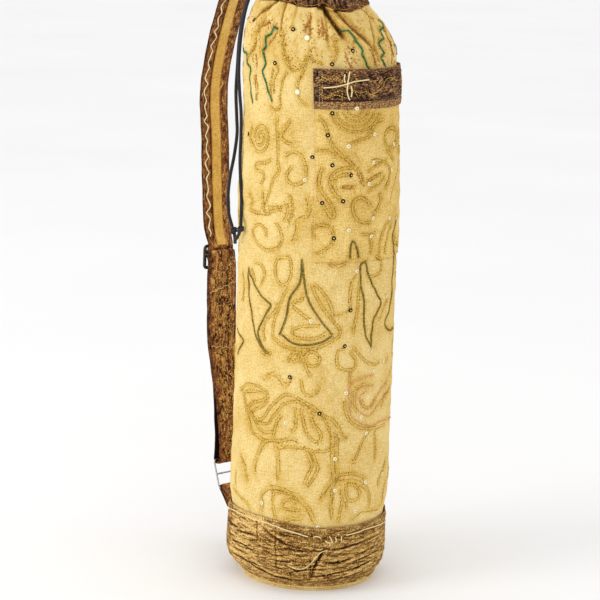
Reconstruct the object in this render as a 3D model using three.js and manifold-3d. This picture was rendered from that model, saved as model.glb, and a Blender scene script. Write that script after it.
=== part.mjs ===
// Yoga kit bag: a drawstring tube of embroidered cotton for a rolled mat, standing on its round base.
// Millimetres, +Z up. The origin is the middle of the base's underside, -Y is the front, and angles
// run anticlockwise from +X seen from above, so the front is 270 degrees and the left side is 180.

import * as THREE from "three";
import { mergeVertices } from "three/addons/utils/BufferGeometryUtils.js";
import Module from "manifold-3d";

// Driving dimensions

const CLOTH = { wall: 2, seamGap: 0.4 };
const AROUND = 64; // steps round the gathered cloth

// The tube's outer rings, from the lap under the base band up to the casing seam.
// shift moves a ring's middle along X, and tilt lowers its right side and lifts its left side.
const BODY_RINGS = [
  { z: 56, radius: 81.1, shift: -1.3, tilt: 0 },
  { z: 73, radius: 81.2, shift: -0.8, tilt: 0 },
  { z: 84, radius: 82.8, shift: -0.5, tilt: 0 },
  { z: 162, radius: 83.2, shift: 0, tilt: 0 },
  { z: 292, radius: 82.9, shift: 0, tilt: 0 },
  { z: 432, radius: 81.3, shift: -0.6, tilt: 0 },
  { z: 502, radius: 79.3, shift: -2.4, tilt: 0 },
  { z: 544, radius: 79.3, shift: -4.6, tilt: 0 },
  { z: 571, radius: 77.5, shift: -6.4, tilt: 0 },
  { z: 590, radius: 71.5, shift: -10.4, tilt: 1 },
  { z: 608, radius: 60.5, shift: -14.2, tilt: 2 },
];
const SEAM = BODY_RINGS[BODY_RINGS.length - 1];

// Gathers that the drawcord pulls into the shoulder: where each valley lies, how deep it is at the
// casing seam, how wide it is, and how far down the shoulder it runs.
const GATHERS = [
  { angle: 200, depth: 5.5, width: 7, reach: 40 },
  { angle: 222, depth: 6, width: 6, reach: 46 },
  { angle: 243, depth: 5, width: 6, reach: 38 },
  { angle: 264, depth: 4, width: 6, reach: 44 },
  { angle: 285, depth: 9, width: 6, reach: 58 },
  { angle: 305, depth: 8, width: 6, reach: 62 },
  { angle: 324, depth: 6, width: 6, reach: 56 },
  { angle: 343, depth: 7, width: 6.5, reach: 50 },
  { angle: 2, depth: 6, width: 6, reach: 46 },
  { angle: 22, depth: 7.5, width: 6.5, reach: 52 },
  { angle: 43, depth: 6, width: 6, reach: 42 },
  { angle: 63, depth: 7, width: 6, reach: 48 },
  { angle: 84, depth: 5.5, width: 6.5, reach: 44 },
  { angle: 105, depth: 5, width: 6, reach: 36 },
  { angle: 159, depth: 5, width: 6, reach: 36 },
  { angle: 178, depth: 5, width: 6, reach: 40 },
];

// The drawcord's casing is a folded band, laid inward and upward at 45 degrees from the seam. It swells
// round the cord between low and high, closes at its crest, and is open on the left for the cord's ends.
const CASING = {
  length: 39.6,
  wall: 1.4,
  seamOuter: { along: 0.2, out: 0.5 },
  seamInner: { along: 1.9, out: -1.2 },
  low: 12,
  cord: 19,
  high: 26,
  crest: { along: 38, half: 1.6, gather: 0.6 },
  channel: { from: 5, to: 34, half: 2.2, endHalf: 0.3 },
  ridge: 4,
  shiftGain: -9,
  gapAngle: 186,
  gapHalf: 10,
};

// shift moves the base's middle along X, a little to the right of the band's.
const BASE = {
  rimRadius: 71.5,
  rimHalf: 2.2,
  discThickness: 2.5,
  flatRadius: 65,
  pipeRing: 71.3,
  pipeRadius: 2.1,
  shift: 1.5,
  steps: 40,
};

// The base band's outer rings, from its rounded foot up to its folded top edge.
const BAND = {
  wall: 2.1,
  rings: [
    { z: 9, radius: 72.8, shift: 1.2, tilt: 0 },
    { z: 13, radius: 77.8, shift: 0.2, tilt: 0 },
    { z: 18, radius: 81.6, shift: -0.8, tilt: 0 },
    { z: 26, radius: 84, shift: -1.6, tilt: 0 },
    { z: 45, radius: 84.4, shift: -1.6, tilt: 0 },
    { z: 72, radius: 83.7, shift: -0.8, tilt: 0 },
  ],
};

// The patch pocket hugs the tube from just left of the front round past the right side.
const POCKET = { from: 266.5, to: 370.5, bottom: 353, top: 546.5, wall: 1.2, slack: 2, steps: 20 };
const TRIM = { bottom: 509, top: 549, wall: 1.3, gap: 0.3, overhang: 0.8 };

// The strap lies in one upright plane through the bag's axis. reach is the distance from the axis.
const STRAP = { azimuth: 132, width: 38, thickness: 2.6, gap: 0.3 };
const STRAP_DOWN = [
  { reach: 84.3, z: 552 },
  { reach: 83.7, z: 566 },
  { reach: 82.5, z: 581 },
  { reach: 82.2, z: 596 },
  { reach: 84.6, z: 612 },
  { reach: 91.8, z: 628.5 },
  { reach: 105, z: 639.5 },
  { reach: 121, z: 639 },
  { reach: 136, z: 627 },
  { reach: 147, z: 609 },
  { reach: 155.5, z: 589 },
  { reach: 165, z: 563 },
  { reach: 173, z: 535.5 },
  { reach: 178, z: 511 },
  { reach: 179, z: 489 },
  { reach: 177.3, z: 468 },
  { reach: 174.8, z: 446 },
  { reach: 172, z: 402 },
  { reach: 168, z: 360 },
  { reach: 164, z: 340 },
];
const STRAP_DOUBLED = [
  { reach: 157, z: 292 },
  { reach: 156.2, z: 270 },
  { reach: 154.5, z: 232 },
  { reach: 147.6, z: 199 },
  { reach: 140.6, z: 167 },
  { reach: 137.2, z: 132 },
  { reach: 136, z: 110 },
];
const DOUBLED_HALF_SPREAD = 1.7;
const STRIPE = { width: 11.5, thickness: 1, from: 0.12, to: 0.985 };

const SLIDER = { reach: 158.5, z: 321, barRadius: 1.5, halfHeight: 9.5, step: 5, halfWidth: 21.5 };
const RING = {
  top: { reach: 136.1, z: 92.5 },
  bottom: { reach: 125.4, z: 62.7 },
  wireRadius: 1,
  halfWidth: 21,
};
const TAB_OUTER = [
  { reach: 88.9, z: 24 },
  { reach: 91.6, z: 28.2 },
  { reach: 100.3, z: 32.5 },
  { reach: 113.4, z: 46 },
];
const TAB_INNER = [
  { reach: 86.1, z: 24 },
  { reach: 88.4, z: 29.6 },
  { reach: 97, z: 36 },
  { reach: 110, z: 50 },
];

const CORD = { radius: 1.75, sides: 8, stepLength: 10, gap: 0.3 };
const KNOT = { radius: 4.1, squash: 0.86, sides: 10 };
// Free strands of the drawcord, from the casing's gap down to their knots, and the tails below them.
const STRAND_FRONT = {
  route: [
    { x: -63.8, y: -12.8, z: 623.3 },
    { x: -64.9, y: -9.1, z: 623.4 },
    { x: -69, y: -6.6, z: 623.4 },
    { x: -75.4, y: -6.8, z: 619 },
    { x: -80.8, y: -7, z: 606 },
    { x: -84.6, y: -7, z: 588 },
    { x: -87.2, y: -7, z: 564 },
    { x: -87.8, y: -7.4, z: 537 },
    { x: -86.2, y: -8.6, z: 514 },
    { x: -83.9, y: -11, z: 492 },
    { x: -83.4, y: -13, z: 470 },
    { x: -83.6, y: -15, z: 447 },
    { x: -82.4, y: -19, z: 426 },
    { x: -80.6, y: -25, z: 406 },
    { x: -80.3, y: -29, z: 390 },
    { x: -80.2, y: -32.6, z: 380.5 },
  ],
  knot: { x: -80.1, y: -34.2, z: 375.6 },
  tail: { x: -85.2, y: -27.5, z: 363.5 },
};
const STRAND_BACK = {
  route: [
    { x: -65.5, y: 3.1, z: 623.4 },
    { x: -66, y: -0.3, z: 623.6 },
    { x: -70.4, y: -1.9, z: 623.8 },
    { x: -76.8, y: -2, z: 620 },
    { x: -83.2, y: -1.6, z: 607 },
    { x: -88, y: -1, z: 589 },
    { x: -91.4, y: 0, z: 565 },
    { x: -91.8, y: 1, z: 540 },
    { x: -91, y: 1.4, z: 514 },
    { x: -88.9, y: 1, z: 488 },
    { x: -88, y: 0, z: 470 },
    { x: -90.2, y: -1.5, z: 448 },
    { x: -93.8, y: -3, z: 426 },
    { x: -95.3, y: -5, z: 406 },
    { x: -94, y: -8.5, z: 388 },
    { x: -89.8, y: -12.4, z: 374.2 },
  ],
  knot: { x: -88, y: -13.6, z: 370.6 },
  tail: { x: -86.2, y: -15, z: 357 },
};

const FINISH = {
  cotton: { color: 0xdcb870, roughness: 0.9, metalness: 0 },
  pocketCotton: { color: 0xd0ac58, roughness: 0.9, metalness: 0 },
  brownCloth: { color: 0x8a633b, roughness: 0.92, metalness: 0 },
  strapCloth: { color: 0x7d552f, roughness: 0.92, metalness: 0 },
  stripeCotton: { color: 0xc59a4d, roughness: 0.88, metalness: 0 },
  cord: { color: 0x2a2628, roughness: 0.75, metalness: 0 },
  darkMetal: { color: 0x2e2a26, roughness: 0.45, metalness: 0.9 },
  steelWire: { color: 0xb9bdc2, roughness: 0.3, metalness: 1 },
};

// Small helpers

const radians = THREE.MathUtils.degToRad;
const bell = (offset, width) => Math.exp(-0.5 * (offset / width) ** 2);
const wrapped = (degrees) => THREE.MathUtils.euclideanModulo(degrees + 180, 360) - 180;
const steps = (count) => Array.from({ length: count }, (_, i) => i);

// Joins loops of equal length into one closed skin, and turns it round if it faces inwards.
class Skin {
  points = [];
  triangles = [];

  loop(vectors) {
    const start = this.points.length;
    this.points.push(...vectors);
    return { start, count: vectors.length };
  }

  quad(a, b, c, d) {
    this.triangles.push(a, b, c, a, c, d);
  }

  // A band of quads between two loops, all the way round.
  join(a, b) {
    for (const i of steps(a.count)) {
      const next = (i + 1) % a.count;
      this.quad(a.start + i, a.start + next, b.start + next, b.start + i);
    }
  }

  // Closes a loop that runs along one side of a strip and back along the other.
  closeStrip(loop, reversed) {
    for (const i of steps(loop.count / 2 - 1)) {
      const far = loop.start + loop.count - 1 - i;
      const corners = [loop.start + i, loop.start + i + 1, far - 1, far];
      this.quad(...(reversed ? corners.reverse() : corners));
    }
  }

  geometry() {
    let volume = 0;
    for (let i = 0; i < this.triangles.length; i += 3) {
      const [a, b, c] = this.triangles.slice(i, i + 3).map((k) => this.points[k]);
      volume += a.dot(new THREE.Vector3().crossVectors(b, c));
    }
    const index = volume < 0 ? [...this.triangles].reverse() : this.triangles;
    const made = new THREE.BufferGeometry().setFromPoints(this.points).setIndex(index);
    made.computeVertexNormals();
    return made;
  }
}

const wasm = await Module();
wasm.setup();

function solidOf(geometry) {
  const bare = geometry.clone();
  bare.deleteAttribute("normal");
  bare.deleteAttribute("uv");
  const merged = mergeVertices(bare, 1e-4);
  return new wasm.Manifold(
    new wasm.Mesh({
      numProp: 3,
      vertProperties: merged.attributes.position.array,
      triVerts: new Uint32Array(merged.index.array),
    }),
  );
}

function fused(geometries) {
  const mesh = geometries.map(solidOf).reduce((whole, next) => whole.add(next)).getMesh();
  const made = new THREE.BufferGeometry();
  made.setAttribute("position", new THREE.BufferAttribute(mesh.vertProperties, 3));
  made.setIndex(new THREE.BufferAttribute(mesh.triVerts, 1));
  made.computeVertexNormals();
  return made;
}

function meshOf(name, geometry, finish) {
  const mesh = new THREE.Mesh(geometry, new THREE.MeshStandardMaterial(finish));
  mesh.name = name;
  return mesh;
}

// The gathered tube

function ringAt(z) {
  const above = Math.max(1, BODY_RINGS.findIndex((ring) => ring.z >= z));
  const [low, high] = [BODY_RINGS[above - 1], BODY_RINGS[above]];
  const share = (z - low.z) / (high.z - low.z);
  const between = (key) => THREE.MathUtils.lerp(low[key], high[key], share);
  return { z, radius: between("radius"), shift: between("shift"), tilt: between("tilt") };
}

// How far the gathers pull the cloth in at an angle, given the height below the casing seam.
function gatherDepth(angle, below) {
  return GATHERS.reduce((sum, g) => {
    const fade = 1 - THREE.MathUtils.smoothstep(below, 0, g.reach);
    return sum + g.depth * fade * bell(wrapped(angle - g.angle), g.width);
  }, 0);
}

// 0 on a ridge between two gathers and 1 in the bottom of a valley.
function valley(angle) {
  return Math.min(1, GATHERS.reduce((sum, g) => sum + bell(wrapped(angle - g.angle), g.width), 0));
}

function ringPoint(ring, angle, radius) {
  const a = radians(angle);
  return new THREE.Vector3(
    ring.shift + radius * Math.cos(a),
    radius * Math.sin(a),
    ring.z - ring.tilt * Math.cos(a),
  );
}

function bodyLoop(ring, inset) {
  const below = SEAM.z - ring.z;
  return steps(AROUND).map((i) => {
    const angle = (360 * i) / AROUND;
    return ringPoint(ring, angle, ring.radius - inset - gatherDepth(angle, below));
  });
}

function makeBody() {
  const skin = new Skin();
  const outside = BODY_RINGS.map((ring) => skin.loop(bodyLoop(ring, 0)));
  const inside = BODY_RINGS.map((ring) => skin.loop(bodyLoop(ring, CLOTH.wall)));
  const rings = [...outside, ...inside.reverse()];
  rings.forEach((ring, i) => skin.join(ring, rings[(i + 1) % rings.length]));
  return meshOf("body_tube", skin.geometry(), FINISH.cotton);
}

// The drawcord's casing

// A point of the casing: along runs from the seam to the crest, out is measured off its middle layer,
// and inward follows the gathers.
function casingPoint(angle, along, out, inward) {
  const share = along / CASING.length;
  const [up, side] = [Math.SQRT1_2 * (along + out), Math.SQRT1_2 * (out - along)];
  const ring = {
    z: SEAM.z + up,
    shift: SEAM.shift + CASING.shiftGain * share,
    tilt: SEAM.tilt,
  };
  return ringPoint(ring, angle, SEAM.radius + side - inward);
}

function casingLoops(angle) {
  const { wall, seamOuter, seamInner, low, high, crest, channel, ridge } = CASING;
  const pull = gatherDepth(angle, 0);
  const crestPull = crest.gather * pull;
  const pinch = valley(angle);
  const [channelOut, channelIn] = [channel.half + ridge * (1 - pinch), channel.half + ridge * pinch];
  const lowPull = pull * (1 - channel.from / low);
  const highPull = crestPull * ((channel.to - high) / (crest.along - high));
  const at = (along, out, inward) => casingPoint(angle, along, out, inward);
  const skinLoop = [
    at(seamOuter.along, seamOuter.out, pull),
    at(low, channelOut + wall, 0),
    at(high, channelOut + wall, 0),
    at(crest.along, crest.half, crestPull),
    at(crest.along, -crest.half, crestPull),
    at(high, -channelIn - wall, 0),
    at(low, -channelIn - wall, 0),
    at(seamInner.along, seamInner.out, pull),
  ];
  const cavityLoop = [
    at(channel.from, channel.endHalf, lowPull),
    at(low, channelOut, 0),
    at(high, channelOut, 0),
    at(channel.to, channel.endHalf, highPull),
    at(channel.to, -channel.endHalf, highPull),
    at(high, -channelIn, 0),
    at(low, -channelIn, 0),
    at(channel.from, -channel.endHalf, lowPull),
  ];
  return { skinLoop, cavityLoop };
}

function makeCasing() {
  const skin = new Skin();
  const from = CASING.gapAngle + CASING.gapHalf;
  const sweep = 360 - 2 * CASING.gapHalf;
  const stations = steps(AROUND + 1).map((i) => {
    const { skinLoop, cavityLoop } = casingLoops(from + (sweep * i) / AROUND);
    return { skin: skin.loop(skinLoop), cavity: skin.loop(cavityLoop) };
  });
  stations.slice(1).forEach((station, i) => {
    skin.join(stations[i].skin, station.skin);
    skin.join(station.cavity, stations[i].cavity);
  });
  const [first, last] = [stations[0], stations[AROUND]];
  skin.join(first.cavity, first.skin);
  skin.join(last.skin, last.cavity);
  return meshOf("mouth_casing", skin.geometry(), FINISH.brownCloth);
}

// The base

function latheUpright(profile) {
  const points = profile.map(({ radius, z }) => new THREE.Vector2(radius, z));
  return new THREE.LatheGeometry(points, BASE.steps).rotateX(Math.PI / 2);
}

function makeBaseDisc() {
  const { rimRadius, rimHalf, discThickness, flatRadius } = BASE;
  const rimArc = steps(5).map((i) => {
    const turn = radians(-90 + 45 * i);
    return {
      radius: rimRadius - rimHalf + rimHalf * Math.cos(turn),
      z: rimHalf + rimHalf * Math.sin(turn),
    };
  });
  const profile = [
    { radius: 0, z: 0 },
    ...rimArc,
    { radius: flatRadius, z: discThickness },
    { radius: 0, z: discThickness },
  ];
  const disc = meshOf("base_disc", latheUpright(profile), FINISH.cotton);
  disc.position.x = BASE.shift;
  return disc;
}

// The piping lies in the corner that the disc's rolled rim leaves under the band.
function makeBasePiping() {
  const { rimRadius, rimHalf, pipeRing, pipeRadius } = BASE;
  const apart = rimHalf + pipeRadius + CLOTH.seamGap;
  const outward = pipeRing - (rimRadius - rimHalf);
  const ring = new THREE.TorusGeometry(pipeRing, pipeRadius, 8, BASE.steps);
  const piping = meshOf("base_piping", ring, FINISH.cotton);
  piping.position.set(BASE.shift, 0, rimHalf + Math.sqrt(apart ** 2 - outward ** 2));
  return piping;
}

function makeBaseBand() {
  const skin = new Skin();
  const ringLoop = (ring, inset) =>
    skin.loop(steps(BASE.steps).map((i) => ringPoint(ring, (360 * i) / BASE.steps, ring.radius - inset)));
  const outside = BAND.rings.map((ring) => ringLoop(ring, 0));
  const inside = BAND.rings.map((ring) => ringLoop(ring, BAND.wall));
  const rings = [...outside, ...inside.reverse()];
  rings.forEach((ring, i) => skin.join(ring, rings[(i + 1) % rings.length]));
  return meshOf("base_band", skin.geometry(), FINISH.brownCloth);
}

// The patch pocket and its trim

// A wall that lies on the tube between two angles. off gives its distance from the tube's face.
function patchOnTube(from, to, heights, off, wall) {
  const skin = new Skin();
  const stations = steps(POCKET.steps + 1).map((i) => {
    const across = i / POCKET.steps;
    const angle = THREE.MathUtils.lerp(from, to, across);
    const side = (extra) =>
      heights.map((z) => {
        const ring = ringAt(z);
        return ringPoint(ring, angle, ring.radius + off(across, z) + extra);
      });
    return skin.loop([...side(wall), ...side(0).reverse()]);
  });
  stations.slice(1).forEach((station, i) => skin.join(stations[i], station));
  skin.closeStrip(stations[0], true);
  skin.closeStrip(stations[POCKET.steps], false);
  return skin.geometry();
}

// The pocket is sewn flat at its sides and foot, and stands a little off the tube at its mouth.
function pocketOff(across, z) {
  const lift = (z - POCKET.bottom) / (POCKET.top - POCKET.bottom);
  return CLOTH.seamGap + POCKET.slack * Math.sin(Math.PI * across) * Math.max(0, lift) ** 2;
}

const trimOff = (across, z) => pocketOff(across, Math.min(z, POCKET.top)) + POCKET.wall + TRIM.gap;

// The heights of a patch's rows: its two edges and each of the tube's rings between them.
function rowsBetween({ bottom, top }) {
  const between = BODY_RINGS.map((ring) => ring.z).filter((z) => z > bottom && z < top);
  return [bottom, ...between, top];
}

function makePocket() {
  const heights = rowsBetween(POCKET);
  const geometry = patchOnTube(POCKET.from, POCKET.to, heights, pocketOff, POCKET.wall);
  return meshOf("pocket", geometry, FINISH.pocketCotton);
}

function makePocketTrim() {
  const heights = rowsBetween(TRIM);
  const { from, to } = POCKET;
  const [left, right] = [from - TRIM.overhang, to + TRIM.overhang];
  return meshOf("pocket_trim", patchOnTube(left, right, heights, trimOff, TRIM.wall), FINISH.brownCloth);
}

// The strap, drawn in its plane: x is the reach from the axis and y is the height

const planePoint = ({ reach, z }) => new THREE.Vector2(reach, z);
const spline = (rows, count) => new THREE.SplineCurve(rows.map(planePoint)).getPoints(count);

function arcAround(centre, radius, fromDegrees, toDegrees, count) {
  return steps(count + 1).map((i) => {
    const turn = radians(THREE.MathUtils.lerp(fromDegrees, toDegrees, i / count));
    return new THREE.Vector2(centre.reach + radius * Math.cos(turn), centre.z + radius * Math.sin(turn));
  });
}

// A path with points closer than least removed, so that its offsets don't fold.
function spaced(path, least = 0.8) {
  return path.filter((p, i) => i === 0 || p.distanceTo(path[i - 1]) > least);
}

function offsetPath(path, distance) {
  return path.map((p, i) => {
    const along = path[Math.min(i + 1, path.length - 1)].clone().sub(path[Math.max(i - 1, 0)]);
    along.normalize();
    return new THREE.Vector2(p.x - along.y * distance, p.y + along.x * distance);
  });
}

// A flat band: the path's two offsets as one outline, pushed out to the band's width.
function bandAlong(path, thickness, width) {
  const outline = [...offsetPath(path, thickness / 2), ...offsetPath(path, -thickness / 2).reverse()];
  const settings = { depth: width, bevelEnabled: false, steps: 1 };
  return new THREE.ExtrudeGeometry(new THREE.Shape(outline), settings).translate(0, 0, -width / 2);
}

const loopRadius = (barRadius) => barRadius + STRAP.gap + STRAP.thickness / 2;

function strapDownPath() {
  return spline(STRAP_DOWN, 42);
}

// One long band: sewn on at the shoulder, down through the slider, round the ring and back up to the
// slider's middle bar, where its end is hooked round and sewn.
function makeStrap() {
  const hook = loopRadius(SLIDER.barRadius);
  const turn = loopRadius(RING.wireRadius);
  const past = 2 * hook - STRAP.gap / 2;
  const behindBar = SLIDER.step - hook;
  const slider = [
    { reach: SLIDER.reach + behindBar, z: SLIDER.z + SLIDER.halfHeight },
    { reach: SLIDER.reach + past, z: SLIDER.z },
    { reach: SLIDER.reach + behindBar, z: SLIDER.z - SLIDER.halfHeight },
  ];
  const spread = (side) =>
    STRAP_DOUBLED.map(({ reach, z }) => ({ reach: reach + side * DOUBLED_HALF_SPREAD, z }));
  const outerLayer = [
    STRAP_DOWN[STRAP_DOWN.length - 1],
    ...slider,
    ...spread(1),
    { reach: RING.top.reach + turn, z: RING.top.z },
  ];
  const innerLayer = [
    { reach: RING.top.reach - turn, z: RING.top.z },
    ...spread(-1).reverse(),
    { reach: SLIDER.reach - hook, z: SLIDER.z },
  ];
  const path = [
    ...strapDownPath(),
    ...spline(outerLayer, 34),
    ...arcAround(RING.top, turn, 0, -180, 6),
    ...spline(innerLayer, 24),
    ...arcAround(SLIDER, hook, 180, -45, 8),
  ];
  return meshOf("strap", bandAlong(spaced(path), STRAP.thickness, STRAP.width), FINISH.strapCloth);
}

// A stripe of plain cotton runs down the middle of the strap's inner face.
function makeStrapStripe() {
  const whole = strapDownPath();
  const part = whole.slice(Math.round(STRIPE.from * whole.length), Math.round(STRIPE.to * whole.length));
  const off = -(STRAP.thickness + STRIPE.thickness) / 2 - STRAP.gap;
  return meshOf(
    "strap_stripe",
    bandAlong(offsetPath(part, off), STRIPE.thickness, STRIPE.width),
    FINISH.stripeCotton,
  );
}

function makeStrapTab() {
  const turn = loopRadius(RING.wireRadius);
  const last = TAB_OUTER[TAB_OUTER.length - 1];
  const lean = THREE.MathUtils.radToDeg(
    Math.atan2(RING.bottom.z - last.z, RING.bottom.reach - last.reach),
  );
  const arc = arcAround(RING.bottom, turn, lean - 90, lean + 90, 6);
  const rowOf = (p) => ({ reach: p.x, z: p.y });
  const path = [
    ...spline([...TAB_OUTER, rowOf(arc[0])], 12),
    ...arc,
    ...spline([rowOf(arc[arc.length - 1]), ...[...TAB_INNER].reverse()], 12),
  ];
  return meshOf("strap_tab", bandAlong(spaced(path), STRAP.thickness, STRAP.width), FINISH.strapCloth);
}

// Strap hardware: round bars fused at their corners

function bar(from, to, radius, sides = 8) {
  const along = new THREE.Vector3().subVectors(to, from);
  const rod = new THREE.CylinderGeometry(radius, radius, along.length(), sides);
  const turn = new THREE.Quaternion().setFromUnitVectors(new THREE.Vector3(0, 1, 0), along.normalize());
  const middle = new THREE.Vector3().addVectors(from, to).multiplyScalar(0.5);
  return rod.applyQuaternion(turn).translate(middle.x, middle.y, middle.z);
}

function ball(at, radius, sides = 8) {
  return new THREE.SphereGeometry(radius, sides, sides / 2).translate(at.x, at.y, at.z);
}

// Cross bars at each place given, joined at both ends by rails that run from one to the next.
function ladder(places, radius, halfWidth) {
  const ends = [-halfWidth, halfWidth].map((side) =>
    places.map(({ reach, z }) => new THREE.Vector3(reach, z, side)),
  );
  const cross = places.map((_, i) => bar(ends[0][i], ends[1][i], radius));
  const rails = ends.flatMap((side) => side.slice(1).map((to, i) => bar(side[i], to, radius)));
  const corners = ends.flat().map((at) => ball(at, radius * 1.02));
  return fused([...cross, ...rails, ...corners]);
}

function makeSlider() {
  const { reach, z, step, halfHeight, barRadius, halfWidth } = SLIDER;
  const places = [
    { reach: reach + step, z: z + halfHeight },
    { reach, z },
    { reach: reach + step, z: z - halfHeight },
  ];
  return meshOf("strap_slider", ladder(places, barRadius, halfWidth), FINISH.darkMetal);
}

function makeRing() {
  const middle = {
    reach: (RING.top.reach + RING.bottom.reach) / 2,
    z: (RING.top.z + RING.bottom.z) / 2,
  };
  const frame = ladder([RING.top, middle, RING.bottom], RING.wireRadius, RING.halfWidth);
  return meshOf("strap_ring", frame, FINISH.steelWire);
}

function makeStrapGroup() {
  const group = new THREE.Group();
  group.rotation.set(Math.PI / 2, 0, radians(STRAP.azimuth), "ZYX");
  group.add(makeStrap(), makeStrapStripe(), makeStrapTab(), makeSlider(), makeRing());
  return group;
}

// The drawcord

const vectorOf = ({ x, y, z }) => new THREE.Vector3(x, y, z);

function tubeAlong(points, radius) {
  const curve = new THREE.CatmullRomCurve3(points);
  const section = new THREE.Shape(
    steps(CORD.sides).map((i) => {
      const turn = (2 * Math.PI * i) / CORD.sides;
      return new THREE.Vector2(radius * Math.cos(turn), radius * Math.sin(turn));
    }),
  );
  const count = Math.max(3, Math.round(curve.getLength() / CORD.stepLength));
  return new THREE.ExtrudeGeometry(section, { steps: count, extrudePath: curve, bevelEnabled: false });
}

// The stretch that the casing hides, from one side of its gap round to the other.
function makeCordInCasing() {
  const from = CASING.gapAngle + CASING.gapHalf + CORD.gap;
  const sweep = 360 - 2 * (CASING.gapHalf + CORD.gap);
  const count = 36;
  const points = steps(count + 1).map((i) => casingPoint(from + (sweep * i) / count, CASING.cord, 0, 0));
  return meshOf("drawcord_in_casing", tubeAlong(points, CORD.radius), FINISH.cord);
}

function makeStrand(name, strand) {
  return meshOf(name, tubeAlong(strand.route.map(vectorOf), CORD.radius), FINISH.cord);
}

function makeKnot(name, strand) {
  const [centre, end] = [vectorOf(strand.knot), vectorOf(strand.tail)];
  const lump = new THREE.SphereGeometry(KNOT.radius, KNOT.sides, 8)
    .scale(1, 1, KNOT.squash)
    .translate(centre.x, centre.y, centre.z);
  return meshOf(name, fused([lump, bar(centre, end, CORD.radius, CORD.sides)]), FINISH.cord);
}

const bag = new THREE.Group();
bag.name = "yoga_kit_bag";
bag.add(
  makeBody(),
  makeCasing(),
  makeBaseDisc(),
  makeBasePiping(),
  makeBaseBand(),
  makePocket(),
  makePocketTrim(),
  makeStrapGroup(),
  makeCordInCasing(),
  makeStrand("drawcord_front", STRAND_FRONT),
  makeStrand("drawcord_back", STRAND_BACK),
  makeKnot("knot_front", STRAND_FRONT),
  makeKnot("knot_back", STRAND_BACK),
);

export default bag;
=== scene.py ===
# Yoga kit bag: a standing drawstring tube of embroidered cotton with a brown patchwork base band.
# The cloth tables below are in millimetres and the cord routes in metres. +Z is up, -Y is the front,
# and angles run anticlockwise from +X seen from above, so the front is 270 degrees.
import math

import bmesh
import bpy
import numpy as np
from mathutils import Matrix, Vector, kdtree, noise


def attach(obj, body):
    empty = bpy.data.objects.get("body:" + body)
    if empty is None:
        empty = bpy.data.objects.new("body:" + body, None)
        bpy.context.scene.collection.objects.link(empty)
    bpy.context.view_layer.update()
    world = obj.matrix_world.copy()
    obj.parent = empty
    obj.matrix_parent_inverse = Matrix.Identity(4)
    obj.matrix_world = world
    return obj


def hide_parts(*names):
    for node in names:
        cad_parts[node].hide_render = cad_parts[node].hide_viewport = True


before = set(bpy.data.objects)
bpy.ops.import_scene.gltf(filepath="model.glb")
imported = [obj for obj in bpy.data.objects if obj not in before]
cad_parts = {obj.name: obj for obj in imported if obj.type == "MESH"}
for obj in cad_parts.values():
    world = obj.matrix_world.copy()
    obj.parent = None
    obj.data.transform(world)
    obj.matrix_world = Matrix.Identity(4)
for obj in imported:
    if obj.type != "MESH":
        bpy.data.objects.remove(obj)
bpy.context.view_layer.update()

MM = 0.001
SEED = 11

# Camera, fitted to the photo: a picture of 600 by 600 pixels
PHOTO_SIDE = 600.0
FOCAL_PIXELS = 2196.8
SENSOR_MM = 36.0
EYE = Vector((0.0, -2.26655, 0.77372))
TARGET = Vector((-0.01667, 0.0, 0.29621))
ROLL = math.radians(1.99)
SIGHT_STEPS = 9  # rounds in which a line of sight settles on the cloth

# Floor and light
FLOOR_SIZE, FLOOR_Z = 60, -0.0003
WORLD_STRENGTH = 0.965
KEY_PLACE, KEY_AIM = (-2.5, -1.3, 1.7), (0, 0, 0.35)
KEY_SIZE, KEY_POWER = 1.2, 24

# Drawcord: one long cord of which two strands hang free
CORD_RADIUS = 0.00175
STRAND_FRONT = [
    (-0.0638, -0.0128, 0.6233),
    (-0.0649, -0.0091, 0.6234),
    (-0.0690, -0.0066, 0.6234),
    (-0.0754, -0.0068, 0.6190),
    (-0.0808, -0.0070, 0.6060),
    (-0.0846, -0.0070, 0.5880),
    (-0.0872, -0.0070, 0.5640),
    (-0.0878, -0.0074, 0.5370),
    (-0.0862, -0.0086, 0.5140),
    (-0.0839, -0.0110, 0.4920),
    (-0.0834, -0.0130, 0.4700),
    (-0.0836, -0.0150, 0.4470),
    (-0.0824, -0.0190, 0.4260),
    (-0.0806, -0.0250, 0.4060),
    (-0.0803, -0.0290, 0.3900),
    (-0.0802, -0.0326, 0.3805),
    (-0.0801, -0.0338, 0.3770),
]
KNOT_FRONT = (-0.0801, -0.0342, 0.3756)
TAIL_FRONT = (-0.0852, -0.0275, 0.3635)
STRAND_BACK = [
    (-0.0655, 0.0031, 0.6234),
    (-0.0660, -0.0003, 0.6236),
    (-0.0704, -0.0019, 0.6238),
    (-0.0762, -0.0018, 0.6196),
    (-0.0816, -0.0012, 0.6066),
    (-0.0858, -0.0006, 0.5888),
    (-0.0886, 0.0002, 0.5650),
    (-0.0896, 0.0010, 0.5400),
    (-0.0904, 0.0014, 0.5140),
    (-0.0889, 0.0010, 0.4880),
    (-0.0880, 0.0000, 0.4700),
    (-0.0902, -0.0015, 0.4480),
    (-0.0938, -0.0030, 0.4260),
    (-0.0953, -0.0050, 0.4060),
    (-0.0940, -0.0085, 0.3880),
    (-0.0898, -0.0124, 0.3742),
]
KNOT_BACK = (-0.0880, -0.0136, 0.3706)
TAIL_BACK = (-0.0862, -0.0150, 0.3570)
KNOT_REACH = 0.0021
KNOT_CORD = 0.0016
KNOT_TURNS = 1.7
KNOT_RISE = 0.8
BRAID_RELIEF, BRAID_TURN = 0.11, 1.5

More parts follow.
